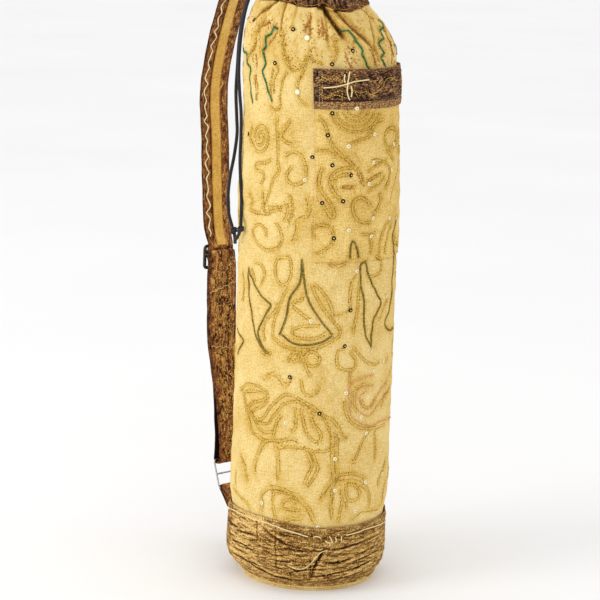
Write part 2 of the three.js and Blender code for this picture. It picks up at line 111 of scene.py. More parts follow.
# Tube: height, radius, shift of the ring's middle along X, and tilt that lowers its right side
BODY_RINGS = np.array([
    (56, 81.1, -1.3, 0),
    (73, 81.2, -0.8, 0),
    (84, 82.8, -0.5, 0),
    (162, 83.2, 0, 0),
    (292, 82.9, 0, 0),
    (432, 81.3, -0.6, 0),
    (502, 79.3, -2.4, 0),
    (544, 79.3, -4.6, 0),
    (571, 77.5, -6.4, 0),
    (590, 71.5, -10.4, 1),
    (608, 60.5, -14.2, 2),
], dtype=float)
RADIUS, SHIFT, TILT = 1, 2, 3
FOOT_Z = 56.0
SEAM_Z = 608.0
SEAM_RADIUS = 60.5
SEAM_SHIFT = -14.2
SEAM_TILT = 2.0
BODY_WALL = 2.0
BODY_COLUMNS = 320
BODY_ROWS, SHOULDER_ROWS = 138, 58  # below and above the shoulder's foot
INSIDE_ROWS, INSIDE_SHOULDER_ROWS = 12, 24
SHOULDER_Z = 540.0
CLOTH_RADIUS = 82.0  # of the tube when its cloth is laid flat
CALM_FROM, CALM_TO = 76.0, 92.0  # heights between which the puckers set in
LEAN_FROM, LEAN = 560.0, 0.9  # where the shoulder starts to face upward, and how much it does

# Crumpled cloth: length of a crease, gap between creases, their seed, and the percentage that stays smooth
BODY_CRUMPLE = (8.0, 24.0, 8.1, 60)
CASING_CRUMPLE = (6.0, 5.0, 3.7)
BAND_CRUMPLE = (22.0, 2.9, 1.3, 66)
TRIM_CRUMPLE = (9.0, 4.0, 5.5, 66)
RIBBON_CRUMPLE = (5.0, 12.0)

# Gathers: angle at the casing seam, depth, width, how far down it runs, and its slant in degrees a millimetre
GATHERS = [
    (200, 5.5, 7, 40, 0.0),
    (222, 6, 6, 46, -0.2),
    (243, 5, 6, 38, -0.3),
    (264, 4, 6, 44, 0.0),
    (281, 9, 5.5, 60, 0.42),
    (298, 8.5, 6, 66, 0.45),
    (319, 5, 5, 46, 0.1),
    (341, 8, 6.5, 54, -0.4),
    (2, 6, 6, 46, 0.0),
    (22, 7.5, 6.5, 52, 0.2),
    (43, 6, 6, 42, 0.2),
    (63, 7, 6, 48, 0.1),
    (84, 5.5, 6.5, 44, -0.1),
    (105, 5, 6, 36, 0.0),
    (159, 5, 6, 36, 0.1),
    (178, 5, 6, 40, 0.0),
]
SHARP_SHARE = 0.45  # how much of a gather is a narrow crease

# Folds of the shoulder, drawn over the photo: the line's pixels, its depth and half width in millimetres
SHOULDER_FOLDS = [
    ([(320, -2), (325, 9), (333, 21), (340, 31), (344, 37)], 10.0, 2.5),
    ([(340, 7), (330, 12), (326, 14)], 5.0, 1.6),
    ([(338, 8), (346, 18), (356, 28), (367, 39), (376, 50)], 6.0, 1.8),
    ([(372, 14), (376, 28), (377, 44), (379, 60)], 3.6, 1.6),
    ([(326, 16), (327, 32), (328.5, 48)], 3.4, 1.5),
    ([(381, 18), (388, 36), (393, 56)], 2.6, 1.6),
    ([(284, 2), (281, 16), (280, 32)], 2.2, 1.4),
    ([(276, -2), (262, 12), (251, 22)], 4.0, 1.7),
    ([(311, 8), (310, 26), (309, 42)], 2.0, 1.4),
    ([(297, 4), (294, 18), (293, 30)], 1.6, 1.3),
    ([(346, 10), (359, 25), (369, 34)], 2.4, 1.4),
    ([(268, 24), (258, 28), (250, 40)], 1.8, 1.5),
]
# Where the casing's seam rises or dips: angle, width, lift
SEAM_RISES = [(235, 18, 2.5), (262, 9, -2.0), (284, 8, 2.0), (305, 14, -4.0), (345, 14, 2.0)]

# The tube bellies out a little on its left, beside the cord's knots: angle, height, their spreads, and depth
BELLY_ANGLE, BELLY_Z = 174.0, 408.0
BELLY_WIDE, BELLY_TALL = 12.0, 30.0
BELLY_DEPTH = 3.8

# Soft puckers that the stitching pulls into the cloth, and a painted shade along the stitched lines
PUCKER_WAVES = 40
PUCKER_SIZE = 0.11
PRESS_DEPTH = 0.4
PRESS_WIDTH = 1.7
PUFF_HEIGHT = 0.25
PUFF_AWAY, PUFF_WIDTH = 5.0, 2.2
PRESS_SHADE = 2.4
PUCKERED_FROM = 530.0

# Casing round the mouth, laid inward and upward at 45 degrees from the seam
CASING_LENGTH = 39.6
CASING_WALL = 1.4
CASING_LOW = 12.0
CASING_CORD = 19.0
CASING_HIGH = 26.0
CASING_CREST = 38.0
CREST_HALF = 1.6
CREST_GATHER = 0.6
CHANNEL_FROM, CHANNEL_TO = 5.0, 34.0
CHANNEL_HALF = 2.2
CHANNEL_END = 0.3
CASING_RIDGE = 4.0
CASING_SHIFT = -9.0
GAP_ANGLE, GAP_HALF = 186.0, 10.0
CASING_STATIONS = 260
CASING_FLAT_RADIUS, SKIN_STEP = 50, 5

# Base: disc with a rolled rim, welt and patchwork band
RIM_RADIUS = 71.0
RIM_HALF = 1.2
DISC_THICKNESS = 2.5
FLAT_RADIUS = 65.0
WELT_RING = 71.0
WELT_RADIUS = 1.4
BASE_SHIFT = 1.5
SEAM_GAP = 0.4
WELT_Z = 4.0
WELT_FLAT_RADIUS = 0.076
BAND_WALL = 2.1
BAND_EDGE = 0.6  # thickness of the band's folded lower edge
BAND_FOOT = 5.4
BAND_TOP = 72.0
BAND_RINGS = np.array([
    (5.4, 73.2, 1.5),
    (9, 74.0, 1.2),
    (13, 77.8, 0.2),
    (18, 81.6, -0.8),
    (26, 84.0, -1.6),
    (45, 84.4, -1.6),
    (72, 83.7, -0.8),
], dtype=float)
BAND_RANDOM_CREASES = 90
CREASE_HEIGHTS, CREASE_SWEEP = (12, 64), (8, 26)
CREASE_DEPTH, CREASE_HALF = (0.7, 1.5), (0.4, 0.65)
BAND_SPECKS = 1000
BAND_COLUMNS = 440
BAND_ROWS, BEND_ROWS = 82, 18  # above and below the bend at its foot
BAND_BEND = 20.0
BAND_FLAT = (2 * math.pi * 84, 68)

# Patch pocket and its trim
POCKET_FROM, POCKET_TO = 266.5, 370.5
POCKET_BOTTOM, POCKET_TOP = 353.0, 546.5
POCKET_WALL = 1.2
POCKET_SLACK = 2.0
TRIM_BOTTOM, TRIM_TOP = 509.0, 549.0
TRIM_WALL = 1.3
TRIM_GAP = 0.3
TRIM_OVERHANG = 0.8
TRIM_HEM = 8.5
POCKET_GRID, TRIM_GRID = (78, 96), (170, 52)  # points across and up
POCKET_FLAT, TRIM_FLAT = (150, 194), (152, 40)

# Strap, in one upright plane through the tube's axis: reach from the axis, height
STRAP_ANGLE = math.radians(132)
STRAP_WIDTH = 38.0
STRAP_THICKNESS = 2.6
STRAP_GAP = 0.3
STRAP_DOWN = [
    (84.3, 552), (83.7, 566), (82.5, 581), (82.2, 596), (84.6, 612), (91.8, 628.5), (105, 639.5),
    (121, 639), (136, 627), (147, 609), (155.5, 589), (165, 563), (173, 535.5), (178, 511),
    (179, 489), (177.3, 468), (174.8, 446), (172, 402), (168, 360), (164, 340),
]
STRAP_DOUBLED = [
    (157, 292), (156.2, 270), (154.5, 232), (147.6, 199), (140.6, 167), (137.2, 132), (136, 110),
]
DOUBLED_SPREAD = 1.7
# How far the front layer bows off the back one, for each point above
FRONT_SLACK = [0.0, 0.0, 0.0, 0.3, 1.0, 3.0, 5.0]
# Wavy stitching beside the stripe: for each thread how far it strays, its lift off the cloth and its radius
WAVE_SIDE = 13.0
WAVE_LENGTH, WAVE_REACH = 16.5, 1.9
WAVE_STRANDS = [(0.0, 0.4, 0.46), (0.9, 0.55, 0.36)]
WAVE_FROM = 0.2  # share of the hanging strap
STRIPE_WIDTH = 13.0
STRIPE_THICKNESS = 1.0
STRIPE_FROM, STRIPE_PAST = 0.12, 12  # share of the hanging strap, and steps past its end
SLIDER_REACH, SLIDER_Z = 158.5, 321.0
SLIDER_BAR = 1.5
SLIDER_HALF_HEIGHT = 9.5
SLIDER_STEP = 5.0
FRAME_TOP, FRAME_FOOT = 8.5, 15.5  # reach of the slider's frame above and below its middle bar
FRAME_HALF_WIDTH, FRAME_OUT, FRAME_BAR = 18.8, 0.8, 1.9
PINCH, PINCH_REACH = 0.13, 16.0  # share of its width that the strap loses in the slider, and how far off
BAR_END = 1.9  # how far inside the ends the middle bar starts to bow
RING_TOP = (136.1, 92.5)
RING_BOTTOM = (125.4, 62.7)
RING_WIRE = 1.0
WIRE_CORNER = 3.0
LOOP_RADIUS, LOOP_Z = 4.85, 94.2  # the strap's loose loop round the ring
RING_HALF_WIDTH = 21.0
# Ribbons: points across, depth of the crinkles, and their seed
STRAP_RIBBON, STRIPE_RIBBON, TAB_RIBBON = (25, 0.4, 2.0), (8, 0.12, 4.0), (17, 0.3, 6.0)
RIBBON_PITCH = 1.4
TAB_OUTER = [(88.9, 24), (91.6, 28.2), (100.3, 32.5), (113.4, 46)]
TAB_INNER = [(86.1, 24), (88.4, 29.6), (97, 36), (110, 50)]

# Embroidery, drawn over the photo as lines of pixels that are then laid on the cloth
GOLD_LINES = {
    "shoulder left": [(246, 60), (254, 47), (256, 33), (262, 22)],
    "leaf": [(287, 73), (283, 80), (281, 89), (280, 98), (280, 107), (275, 110), (271, 106)],
    "cup left": [(283, 32), (282.5, 42), (283, 52), (285, 60)],
    "stem side": [(310, 57), (315, 61.5), (322, 64)],
    "leaf right": [(273, 70), (271, 82), (270.5, 95)],
    "left stitches": [(255, 76), (257, 88), (257, 100)],
    "leaf left": [(275, 64), (278, 70), (274, 80), (274, 92)],
    "cup": [(287, 57), (289, 66), (295, 71), (303, 66), (307, 56)],
    "tall stem": [(310, 49), (308, 59), (303, 72), (298, 83), (299, 97), (307, 106)],
    "bead tail": [(335, 42), (337, 52), (336, 58), (332, 63)],
    "stalk": [(277, 118), (277, 128), (278, 140), (278, 152), (278, 162), (279.5, 171)],
    "stalk foot": [(279.5, 171), (274, 178), (271.5, 186), (268, 196), (264, 206)],
    "forked branch": [(290, 120), (287, 126), (283, 131), (281, 137), (286, 142), (292, 144.5)],
    "tick": [(270, 160), (266, 162.5), (258, 163), (254.5, 166), (256, 170), (260.5, 171.5), (264, 175),
             (261.5, 184)],
    "round loop": [(286, 155), (292, 152), (299.5, 154), (303, 159), (306, 168), (306, 176)],
    "round loop foot": [(291, 168), (287, 174), (287, 180), (292, 184), (298, 184.5), (304, 181.5)],
    "slanting stem": [(320, 118.5), (324, 123), (326.5, 129), (328, 136), (331, 143), (336, 149.5),
                      (341, 155), (347, 160), (352, 165), (357, 171), (360, 178), (362, 185)],
    "short arc": [(318, 150.5), (325, 150), (331, 151), (336, 154)],
    "beak": [(350, 143), (357, 140.5), (365, 137.5), (371, 134)],
    "beak top": [(381, 119), (374, 122), (371, 129)],
    "round leaf": [(383, 134), (386, 129), (390, 127.5), (394, 131), (394.5, 139), (391, 146), (386, 147),
                   (383, 142), (383, 134)],
    "right wing": [(370, 160.5), (376, 160), (382, 161.5), (386.5, 166), (388, 173), (386.5, 181),
                   (384, 187)],
    "right wing root": [(384, 151), (388, 153), (392, 160)],
    "right feather": [(366, 181), (374, 176.5), (380, 174)],
    "big arch": [(352.5, 167.5), (345, 168), (338, 170), (332.5, 174.5), (329.5, 181), (331, 188),
                 (335, 194.5), (340, 199.5)],
    "big arch left": [(322, 168), (320, 175), (319, 182), (321, 190), (326, 197.5), (331, 205), (333.5, 212),
                      (333, 217.5), (329, 215), (324, 206)],
    "big arch inside": [(348, 174.5), (341, 175), (336, 178), (334, 184), (336, 190)],
    "arch tongue": [(341, 187), (347, 187.5), (353, 187)],
    "wave": [(250, 209.5), (256, 212), (262, 213.5), (267, 214), (272, 211.5), (281, 209.5)],
    "wave twin": [(268, 207), (275, 208), (282, 206.5)],
    "wave post": [(263, 192), (262, 199), (263, 206), (266, 213)],
    "left curl": [(249, 193), (252, 198), (253, 203), (250, 206)],
    "drop": [(286.5, 204), (287.5, 211), (286, 217), (283.5, 221)],
    "drop line": [(289, 195.5), (292, 200), (292.5, 208), (291, 216), (289, 222)],
    "long drop": [(308, 199), (309.5, 207), (307.5, 214.5), (302, 219), (297.5, 221), (297.5, 229),
                  (295.5, 235), (294, 241), (290.5, 242.5)],
    "curl top": [(255, 226), (259, 224.5), (263, 226.5), (266, 231), (266, 236)],
    "wide bowl": [(253, 229), (254, 237), (257.5, 243), (262, 247.5), (267, 250), (273, 249.5), (279, 247),
                  (281.5, 241), (281.5, 234), (279, 227), (276, 223)],
    "pocket loop": [(313.5, 237), (313, 229), (316, 226.5), (321, 225), (327, 226), (331, 229.5), (333, 235),
                    (332.5, 242), (328.5, 246.5), (323, 250.5), (316, 254)],
    "pocket bowl": [(369, 205), (366, 200.5), (360, 197.5), (354, 200.5), (351.5, 206), (353, 213),
                    (356.5, 219), (362, 222), (369, 222.5)],
    "pocket bowl right": [(378, 194), (379.5, 201), (377, 207.5), (373, 214)],
    "pocket hook": [(362, 234), (368, 234.5), (374, 232)],
    "pocket hook post": [(369, 238), (370, 245), (369, 252)],
    "right ray": [(388, 220), (382.5, 228.5), (379, 240), (377.5, 253)],
    "right ray twin": [(389, 226), (385.5, 239), (384, 252)],
    "wing line": [(368.5, 170), (376, 164.5), (384, 160)],
    "wing line low": [(368, 190), (376, 184.5), (383, 177)],
    "fan tail": [(366, 134), (372, 127), (376, 119)],
    "saucer": [(330, 264), (334.5, 266.5), (341, 265.5), (345.5, 263)],
    "left fold": [(255.5, 263), (260, 264), (263.5, 268), (264.5, 277), (261, 285)],
    "hook halo left": [(243, 272), (244.5, 288), (243, 300)],
    "hook halo right": [(252, 269), (255, 281)],
    "long loop": [(275.5, 264), (278, 258.5), (284, 257.5), (290.5, 260), (291, 274), (288, 282), (283, 285),
                  (278, 281.5), (275.5, 274), (275.5, 264)],
    "skirt left": [(288, 288), (283, 297), (279, 308), (274.5, 319.5), (273, 330.5), (273, 337), (277, 341),
                   (284, 346), (292, 349)],
    "hook twin": [(278, 304), (275.5, 310.5), (269, 317), (264.5, 324), (263, 333), (264.5, 340)],
    "skirt notch": [(292, 305), (296.5, 300.5), (301, 300.5), (303, 296)],
    "skirt dots": [(293, 307), (299, 311.5), (305.5, 317), (309, 319.5)],
    "skirt eye top": [(294, 329), (300, 327), (308, 326), (319, 326)],
    "skirt eye": [(293, 328), (292, 333), (294.5, 337), (305.5, 339), (316.5, 338), (324.5, 334)],
    "skirt right": [(314.5, 284), (319, 288), (325.5, 296), (331, 306), (333, 316)],
    "skirt right inner": [(312, 286), (316.5, 297), (322, 307), (328, 315), (333, 321.5), (339, 328),
                          (340, 335), (335.5, 339.5)],
    "skirt link": [(335.5, 315), (342, 314), (349, 310.5)],
    "hem": [(292, 349), (304, 350), (320, 347), (333, 341)],
    "right stem": [(356.5, 276), (352, 284), (350, 294), (350, 308)],
    "right stem twin": [(359, 280.5), (359, 292), (358, 305), (356.5, 317), (354, 326), (353, 333)],
    "right ear": [(375, 256), (381, 261), (380, 272), (370, 277)],
    "right column": [(387, 300), (383, 309), (379, 319)],
    "hook end": [(262, 352), (266, 355), (271, 353)],
    "flower ticks": [(288, 361), (290, 357), (294.5, 353), (298, 352)],
    "flower left": [(289, 361), (294, 362), (298, 359), (299, 354)],
    "flower right": [(305, 357), (309, 352.5), (315, 353), (319.5, 358), (317, 365), (310, 366), (306, 362)],
    "ring": [(343, 349.5), (339, 350.5), (336.7, 358), (338, 365.5), (343, 369), (351, 370), (355.5, 366.7),
             (355.5, 360), (351, 353)],
    "right swag": [(353, 346.7), (358, 353), (363, 359), (369, 363), (374.5, 364.5), (379, 361)],
    "right swag end": [(384.5, 362), (388, 356.7)],
    "squiggle": [(263, 378), (268, 376.5), (274.5, 374), (280, 379), (283, 383), (286.7, 385.5), (288, 382),
                 (290, 378)],
    "pot": [(301, 380), (302, 386.7), (304.5, 393), (310, 395.5), (316.7, 392), (319, 388)],
    "pot handle": [(300, 353), (304, 362), (307, 370), (310, 376)],
    "head outer": [(241, 389), (246.7, 384.5), (254.5, 385), (261, 388), (266.7, 392), (268, 398),
                   (266.7, 402), (261, 406.7), (252, 411)],
    "head inner": [(245.5, 392), (250, 391), (258, 392), (264.5, 395.5), (264.5, 399), (259, 401), (252, 403),
                   (249, 406.7)],
    "neck outer": [(242, 390), (244.5, 399), (245.5, 406.7), (248, 415.5), (250, 424.5), (252, 431),
                   (258, 436.7), (266, 441)],
    "neck second": [(244.5, 392), (246, 402), (250, 411), (254.5, 420), (259, 428), (265.5, 432), (272, 432)],
    "back inner": [(251, 412), (255.5, 420), (260, 423), (268, 423), (273, 416.7), (279, 410), (283, 404.5),
                   (292, 402), (300, 402), (306.7, 408), (314.5, 414.5)],
    "back outer": [(256.7, 420), (263, 418), (269, 409), (274.5, 403), (280, 398), (285.5, 394.5),
                   (292, 395.5), (299, 399), (305.5, 403), (312, 406.7), (319, 412), (325.5, 416.7),
                   (332, 419)],
    "tail": [(333, 420), (339, 428), (342, 434.5)],
    "inside arch": [(281, 415.5), (276.7, 422), (274.5, 430), (273, 436.7)],
    "inside row": [(295.5, 409), (296, 418), (295.5, 426.7), (292, 432)],
    "inside row right": [(301, 411), (303, 421), (306, 431), (310, 438), (316.5, 442), (321, 439),
                         (319.5, 432), (314, 425), (311, 418)],
    "tail back": [(342, 434.5), (347.5, 438.5), (341, 440), (336, 441)],
    "rump": [(320, 413), (326, 422), (330, 434), (331, 447)],
    "belly upper": [(266, 441), (271, 440.5), (280, 441), (290, 439), (297, 440.5)],
    "belly": [(279, 448), (290, 447), (301, 448), (310, 451), (319, 451.7), (326.7, 451), (333, 448)],
    "fore leg": [(266, 441), (263, 444), (259, 452), (256, 459), (254, 467), (254, 471), (255.5, 473)],
    "second leg": [(275, 447), (277, 451), (278, 459), (278, 469), (278.5, 480)],
    "third leg right": [(312, 452), (315.5, 461), (318, 468), (315.5, 474.5), (310, 483), (306.5, 485.5)],
    "third leg left": [(308, 454), (311, 461), (312, 467), (310, 471), (306.5, 478), (304.5, 483)],
    "hind leg": [(332, 432), (332.5, 447), (332.5, 459), (333, 469), (333.5, 478), (330, 483), (325, 490),
                 (321, 500)],
    "hind leg right": [(336, 434), (336.5, 447), (336.5, 459), (337, 469), (337, 478), (334, 483)],
    "right peak": [(368, 432), (363, 440), (359, 449), (355.5, 458), (353, 462)],
    "right peak post": [(374.5, 432), (375, 447), (374.5, 459)],
    "right edge": [(385.5, 461), (382, 471), (379, 478), (378, 485.5)],
    "right edge low": [(385.5, 480), (383, 492), (382, 501), (378, 508)],
    "right arch outer": [(334, 480), (341, 475.5), (351, 473.3), (360, 475.5), (364.5, 479)],
    "right arch": [(322, 499), (326.7, 493), (333, 485.5), (341, 482), (351, 481), (359, 483), (364.5, 486.7),
                   (368, 492), (369, 499), (368, 507)],
    "right arch post": [(332, 492), (331, 508), (332, 519)],
    "right arch second post": [(341, 490), (342, 501), (340, 512), (338, 521)],
    "right arch third post": [(345.5, 501), (346.7, 508)],
    "right arch eye": [(355.5, 485.5), (348, 484.5), (345.5, 490), (346.7, 496.7), (351, 501), (358, 499),
                       (360, 493), (355.5, 485.5)],
    "right foot": [(352, 519), (358, 514), (362, 511), (370, 510), (378, 508)],
    "left arch": [(261, 512), (261.7, 503), (260.5, 497), (263, 492), (268, 488), (277, 488), (285.5, 490.5),
                  (292, 494), (297, 495.5), (301, 501), (306.7, 506.7), (311, 514), (315.5, 524)],
    "left arch post": [(274, 492), (273, 501), (274, 510), (275.5, 519)],
    "left arch inner": [(271, 492), (279, 491.5), (288, 494), (295.5, 498)],
    "left arch eye": [(296.7, 502), (289, 500), (283, 502), (281.7, 506.7), (285.5, 509), (292, 510),
                      (299, 510.5)],
    "scallop": [(285.5, 521), (292, 519), (300, 519)],
    "left dash": [(241, 454.5), (244.5, 465.5), (246.7, 480)],
    "left edge": [(235.5, 472), (235.5, 484)],
    "left slope": [(233, 486.7), (240, 495.5), (246.7, 503), (251, 510)],
    "swirl between": [(363, 384.5), (356.7, 388), (353, 391), (352, 398), (353, 406.7), (358, 412)],
    "swirl heart": [(362, 400), (363, 405.5), (369, 408), (373, 403), (375.5, 396.7)],
    "swirl right": [(381, 405.5), (385.5, 395.5), (389, 386.7)],
    "swirl outside": [(344.5, 402), (345.5, 411), (348, 418), (352, 423), (361, 428), (373, 428),
                      (384.5, 424.5)],
    "swirl top": [(350.5, 372), (349.5, 384.5)],
}
SPIRAL_MIDDLE, SPIRAL_TURNS = (260.5, 137), 2.6
SPIRAL_ACROSS, SPIRAL_UP = 10.0, 17.0
FAN_MIDDLE, FAN_RADII = (354.5, 109.5), (7, 12, 18, 23)
# Rust stitches. The lines laid along the shoulder's folds, pleats and right edge, such as "right fold",
# "second fold" and "middle pleat", also stand in part for painted shade in these folds.
RUST_LINES = {
    "left edge": [(261, 14), (255, 19), (252, 21)],
    "left edge low": [(267, 26), (259, 28)],
    "left pleat": [(283, 10), (281, 18), (280, 30)],
    "left tick": [(290, 28), (294, 30)],
    "middle pleat": [(310.5, 15), (310.5, 30), (309.5, 40)],
    "middle pleat right": [(321.7, 18), (322.7, 36)],
    "right tick": [(348, 46.6), (353, 52.7)],
    "right fold": [(382, 26), (390, 40), (394, 56)],
    "right dashes": [(345, 51), (347, 60), (352, 68)],
    "right dashes upper": [(371, 50), (374, 57), (376, 64)],
    "left column": [(256, 50), (257, 62), (256, 74), (255, 86), (256, 100)],
    "far right": [(391.5, 44), (392.5, 54), (392, 63)],
    "middle arc": [(319, 33), (321, 28.5), (324.5, 29), (326, 40)],
    "right fold twin": [(386, 24), (393.5, 38), (396, 52)],
    "right streak": [(366, 40), (371, 47), (375, 52)],
    "low streak": [(351, 58), (355, 62), (358, 66)],
    "left tint": [(277, 33), (272, 40), (269, 45)],
    "upper dots": [(308.5, 20), (306, 26), (305, 31)],
    "second fold": [(334, 11), (344.7, 20), (358, 31.7), (371, 46.7)],
    "second fold upper": [(343, 11), (351, 20), (359.7, 28)],
    "right brow": [(363, 7), (369.7, 13), (377, 18.5)],
    "pocket slant": [(351, 152), (356, 161), (360.5, 171), (362.5, 181)],
    "pocket slant twin": [(354, 152), (359, 162), (363, 172)],
    "pocket crossing": [(368, 171), (362, 178), (357, 186)],
    "pocket feather": [(381, 171), (373, 176), (366, 181)],
    "pocket drop": [(396, 160), (394, 176), (391, 190), (389, 203)],
    "pocket tongue": [(342, 186.5), (347, 184.5), (352.5, 186.5), (347, 188.5), (342, 186.5)],
    "pocket edge": [(316, 165), (317, 180), (317, 195), (318, 205)],
    "pocket foot": [(375, 259), (382, 259), (390, 257)],
}

# Loose seed stitches: middle and spread in pixels, and how many
RUST_SEEDS = [
    ((308, 24), (2.5, 6), 44), ((322, 31), (3, 4), 31), ((266, 26), (5, 2.5), 31), ((357, 24), (5, 4), 31),
    ((388, 52), (4, 9), 58), ((351, 54), (4, 6), 37), ((254, 62), (3, 13), 44), ((376, 56), (3, 7), 31),
    ((252, 20), (4, 4), 20), ((358, 178), (5, 6), 41),
]
GOLD_SEEDS = [
    ((284, 44), (3, 10), 51), ((296, 62), (8, 5), 51), ((312, 48), (4, 10), 51), ((263, 92), (4, 9), 41),
    ((275, 84), (4, 11), 51), ((333, 48), (4, 10), 44), ((256, 40), (4, 9), 37), ((375, 168), (7, 7), 61),
    ((268, 208), (11, 6), 68), ((290, 212), (6, 9), 51), ((335, 185), (9, 9), 68), ((383, 240), (5, 9), 61),
    ((245, 300), (3, 10), 41), ((258, 318), (5, 12), 48), ((355, 300), (4, 14), 68), ((266, 352), (5, 4), 31),
    ((334, 335), (4, 8), 34), ((312, 356), (6, 4), 37), ((294, 357), (4, 3), 27), ((335, 495), (5, 12), 61),
    ((352, 488), (9, 6), 51), ((300, 445), (16, 4), 58), ((334, 440), (4, 12), 44), ((300, 420), (14, 8), 51),
]
SEAM_LINES = {
    "pocket side": [(316, 110), (315, 180), (314.5, 258)],
    "tube seam": [(335.5, 268), (334.5, 345), (334, 430), (334, 500)],
    "tube seam twin": [(333.3, 268), (332.3, 345), (331.8, 430)],
}
POCKET_FOOT_LINE = [(316.5, 263.3), (330, 262), (345.5, 261), (351, 260)]
GREEN_LINES = {
    "far left": [(242, 40), (241, 49), (246, 53), (246.6, 63.5), (251, 67), (249.7, 77), (250.8, 90),
                 (252.4, 103)],
    "left": [(276.5, 30), (273.4, 28), (271, 34.4), (265, 37), (266.5, 46), (262.7, 51), (266, 63.5),
             (262.3, 71), (267.3, 86.5), (271.5, 101)],
    "right": [(342.8, 31.4), (346, 29.4), (348.5, 29), (351.5, 32), (355, 37), (356.6, 41), (361, 46.7),
              (363.5, 50.5), (362.5, 54), (364.5, 58), (366.3, 62), (366.5, 65), (369.6, 69)],
    "far right": [(380.3, 20), (385, 26), (382, 30), (385, 38), (380.3, 43.6), (385.3, 53.6), (382, 58),
                  (385.7, 66)],
}
OLIVE_LINES = {
    "bell left": [(302, 260), (300, 282), (290, 298), (286, 318), (279.5, 334.5)],
    "bell right": [(302, 260), (304, 279), (307, 296), (315, 312.5), (331.6, 334.5)],
    "bell hem": [(282, 335), (293, 343), (307, 345), (322, 342), (331.6, 336)],
    "hook": [(248.5, 268), (253, 280), (260, 294.5), (266, 300.5), (271, 305), (267, 312), (262, 322),
             (258.5, 333), (261.5, 345), (268, 353)],
    "hook line": [(248.5, 268), (248.5, 289), (250.5, 308), (253, 322), (256.5, 337), (262, 348), (268, 353)],
    "far left": [(237, 329), (243, 340), (238, 354)],
    "diamond left": [(364.5, 261), (360.5, 267), (361, 284), (364, 302), (364, 320), (366, 336),
                     (371, 346.5)],
    "diamond right": [(364.5, 261), (367, 267), (370, 279), (376, 292), (381, 302), (377.5, 311),
                      (373.5, 322), (371.5, 334), (371, 346.5)],
    "small arch": [(349.4, 257.5), (349.8, 248), (351, 242.5), (352.8, 241), (354.6, 243), (356.3, 249),
                   (357.6, 256.5)],
    "far right": [(395, 217), (393, 226), (391.5, 236), (391.5, 246), (393.5, 262), (392, 285), (391, 300),
                  (388, 313), (385, 321.7), (386, 327), (389, 330), (393, 328)],
}
PINK_LINES = {
    "swirl": [(373, 374.5), (363, 378), (354.5, 381), (350, 386.7), (349, 395.5), (349.5, 406.7),
              (351, 415.5), (355.5, 420), (363, 424.5), (373, 425.5), (381, 421), (390, 416.7)],
    "swirl inside": [(373, 385.5), (362, 386), (357, 392), (355.5, 402), (359, 411), (368, 416), (375, 409),
                     (383, 397), (390, 387)],
    "swirl heart": [(366, 391), (361, 395), (359.5, 401), (362, 406), (368, 408), (373, 402), (380, 391),
                    (386, 382)],
}
BIG_SEQUINS = [(307, 38), (297.5, 92)]
PALE_SEQUINS = [
    (355, 108), (373, 134), (348, 146), (392, 144), (372, 162), (389, 169),
    (367.5, 183.5), (305, 180), (372, 218), (388, 218), (394, 218), (348, 230), (370, 236), (357, 271),
    (386.6, 296), (311, 321), (372, 351), (383, 361), (373, 370.5), (367.5, 397), (346, 393), (361, 417),
    (285.6, 423), (365.6, 433), (335, 459), (382, 474), (364.6, 482), (335, 490.5), (262, 503),
    (354.6, 511), (318, 527),
]
BRONZE_SEQUINS = [
    (251, 21), (293, 30), (275, 63), (353, 51), (332, 64), (332, 113), (327.6, 135), (249, 134),
    (312.5, 157), (332, 165), (350.6, 175), (322, 202.6), (342.6, 201), (333.5, 238), (350, 310),
    (344.5, 346), (290, 377), (319.4, 413.5),
]
TRIM_LINES = {
    "cross upright": [(347.7, 71), (347, 76.5), (346, 83), (345.6, 90.5), (347, 96.5), (348.2, 99.5)],
    "cross bar": [(323.5, 87.5), (335.5, 86), (345.5, 83.5), (352, 81), (366, 79)],
    "cross upright left": [(343.5, 74), (342.7, 78.5), (343.7, 82)],
    "cross upright right": [(349, 85.5), (350, 90.5), (349.5, 96.5)],
    "wander": [(352, 90), (358, 92.5), (363, 91), (368, 94), (374, 90), (379, 86), (382, 79), (387, 77),
               (391, 80), (397, 78.5)],
    "left curl": [(318, 82), (324, 77), (330, 81), (336, 77), (341, 80)],
    "left cross": [(325, 98), (333, 92.5), (340, 90), (341, 100)],
    "left net": [(322, 76), (328, 79), (334, 75), (339, 82)],
    "low net": [(321, 94), (328, 97), (335, 94.5), (343, 97)],
    "middle net": [(352, 74), (354, 80), (352, 88), (355, 96)],
}
TRIM_ROWS = {
    "left end": [(319, 72), (319.5, 105)],
    "left end inner": [(322, 72), (322.5, 105)],
    "bottom edge": [(319, 105.5), (345, 103.5), (372, 100), (396, 95)],
}
BAND_LINES = {
    "left": [(231, 507), (236, 509.5), (243, 513), (256, 518.5), (268, 523), (284, 529), (298, 533.5),
             (308, 536.5)],
    "left end": [(313, 537), (317, 536), (321, 538)],
    "right": [(346, 535), (357, 532), (368, 528), (384, 521)],
    "first tick": [(329, 536), (331, 539), (332, 542)],
    "second tick": [(335, 537), (336, 540), (335, 542)],
    "third tick": [(341, 536), (341, 541)],
    "first curl": [(325, 541), (330, 543)],
}

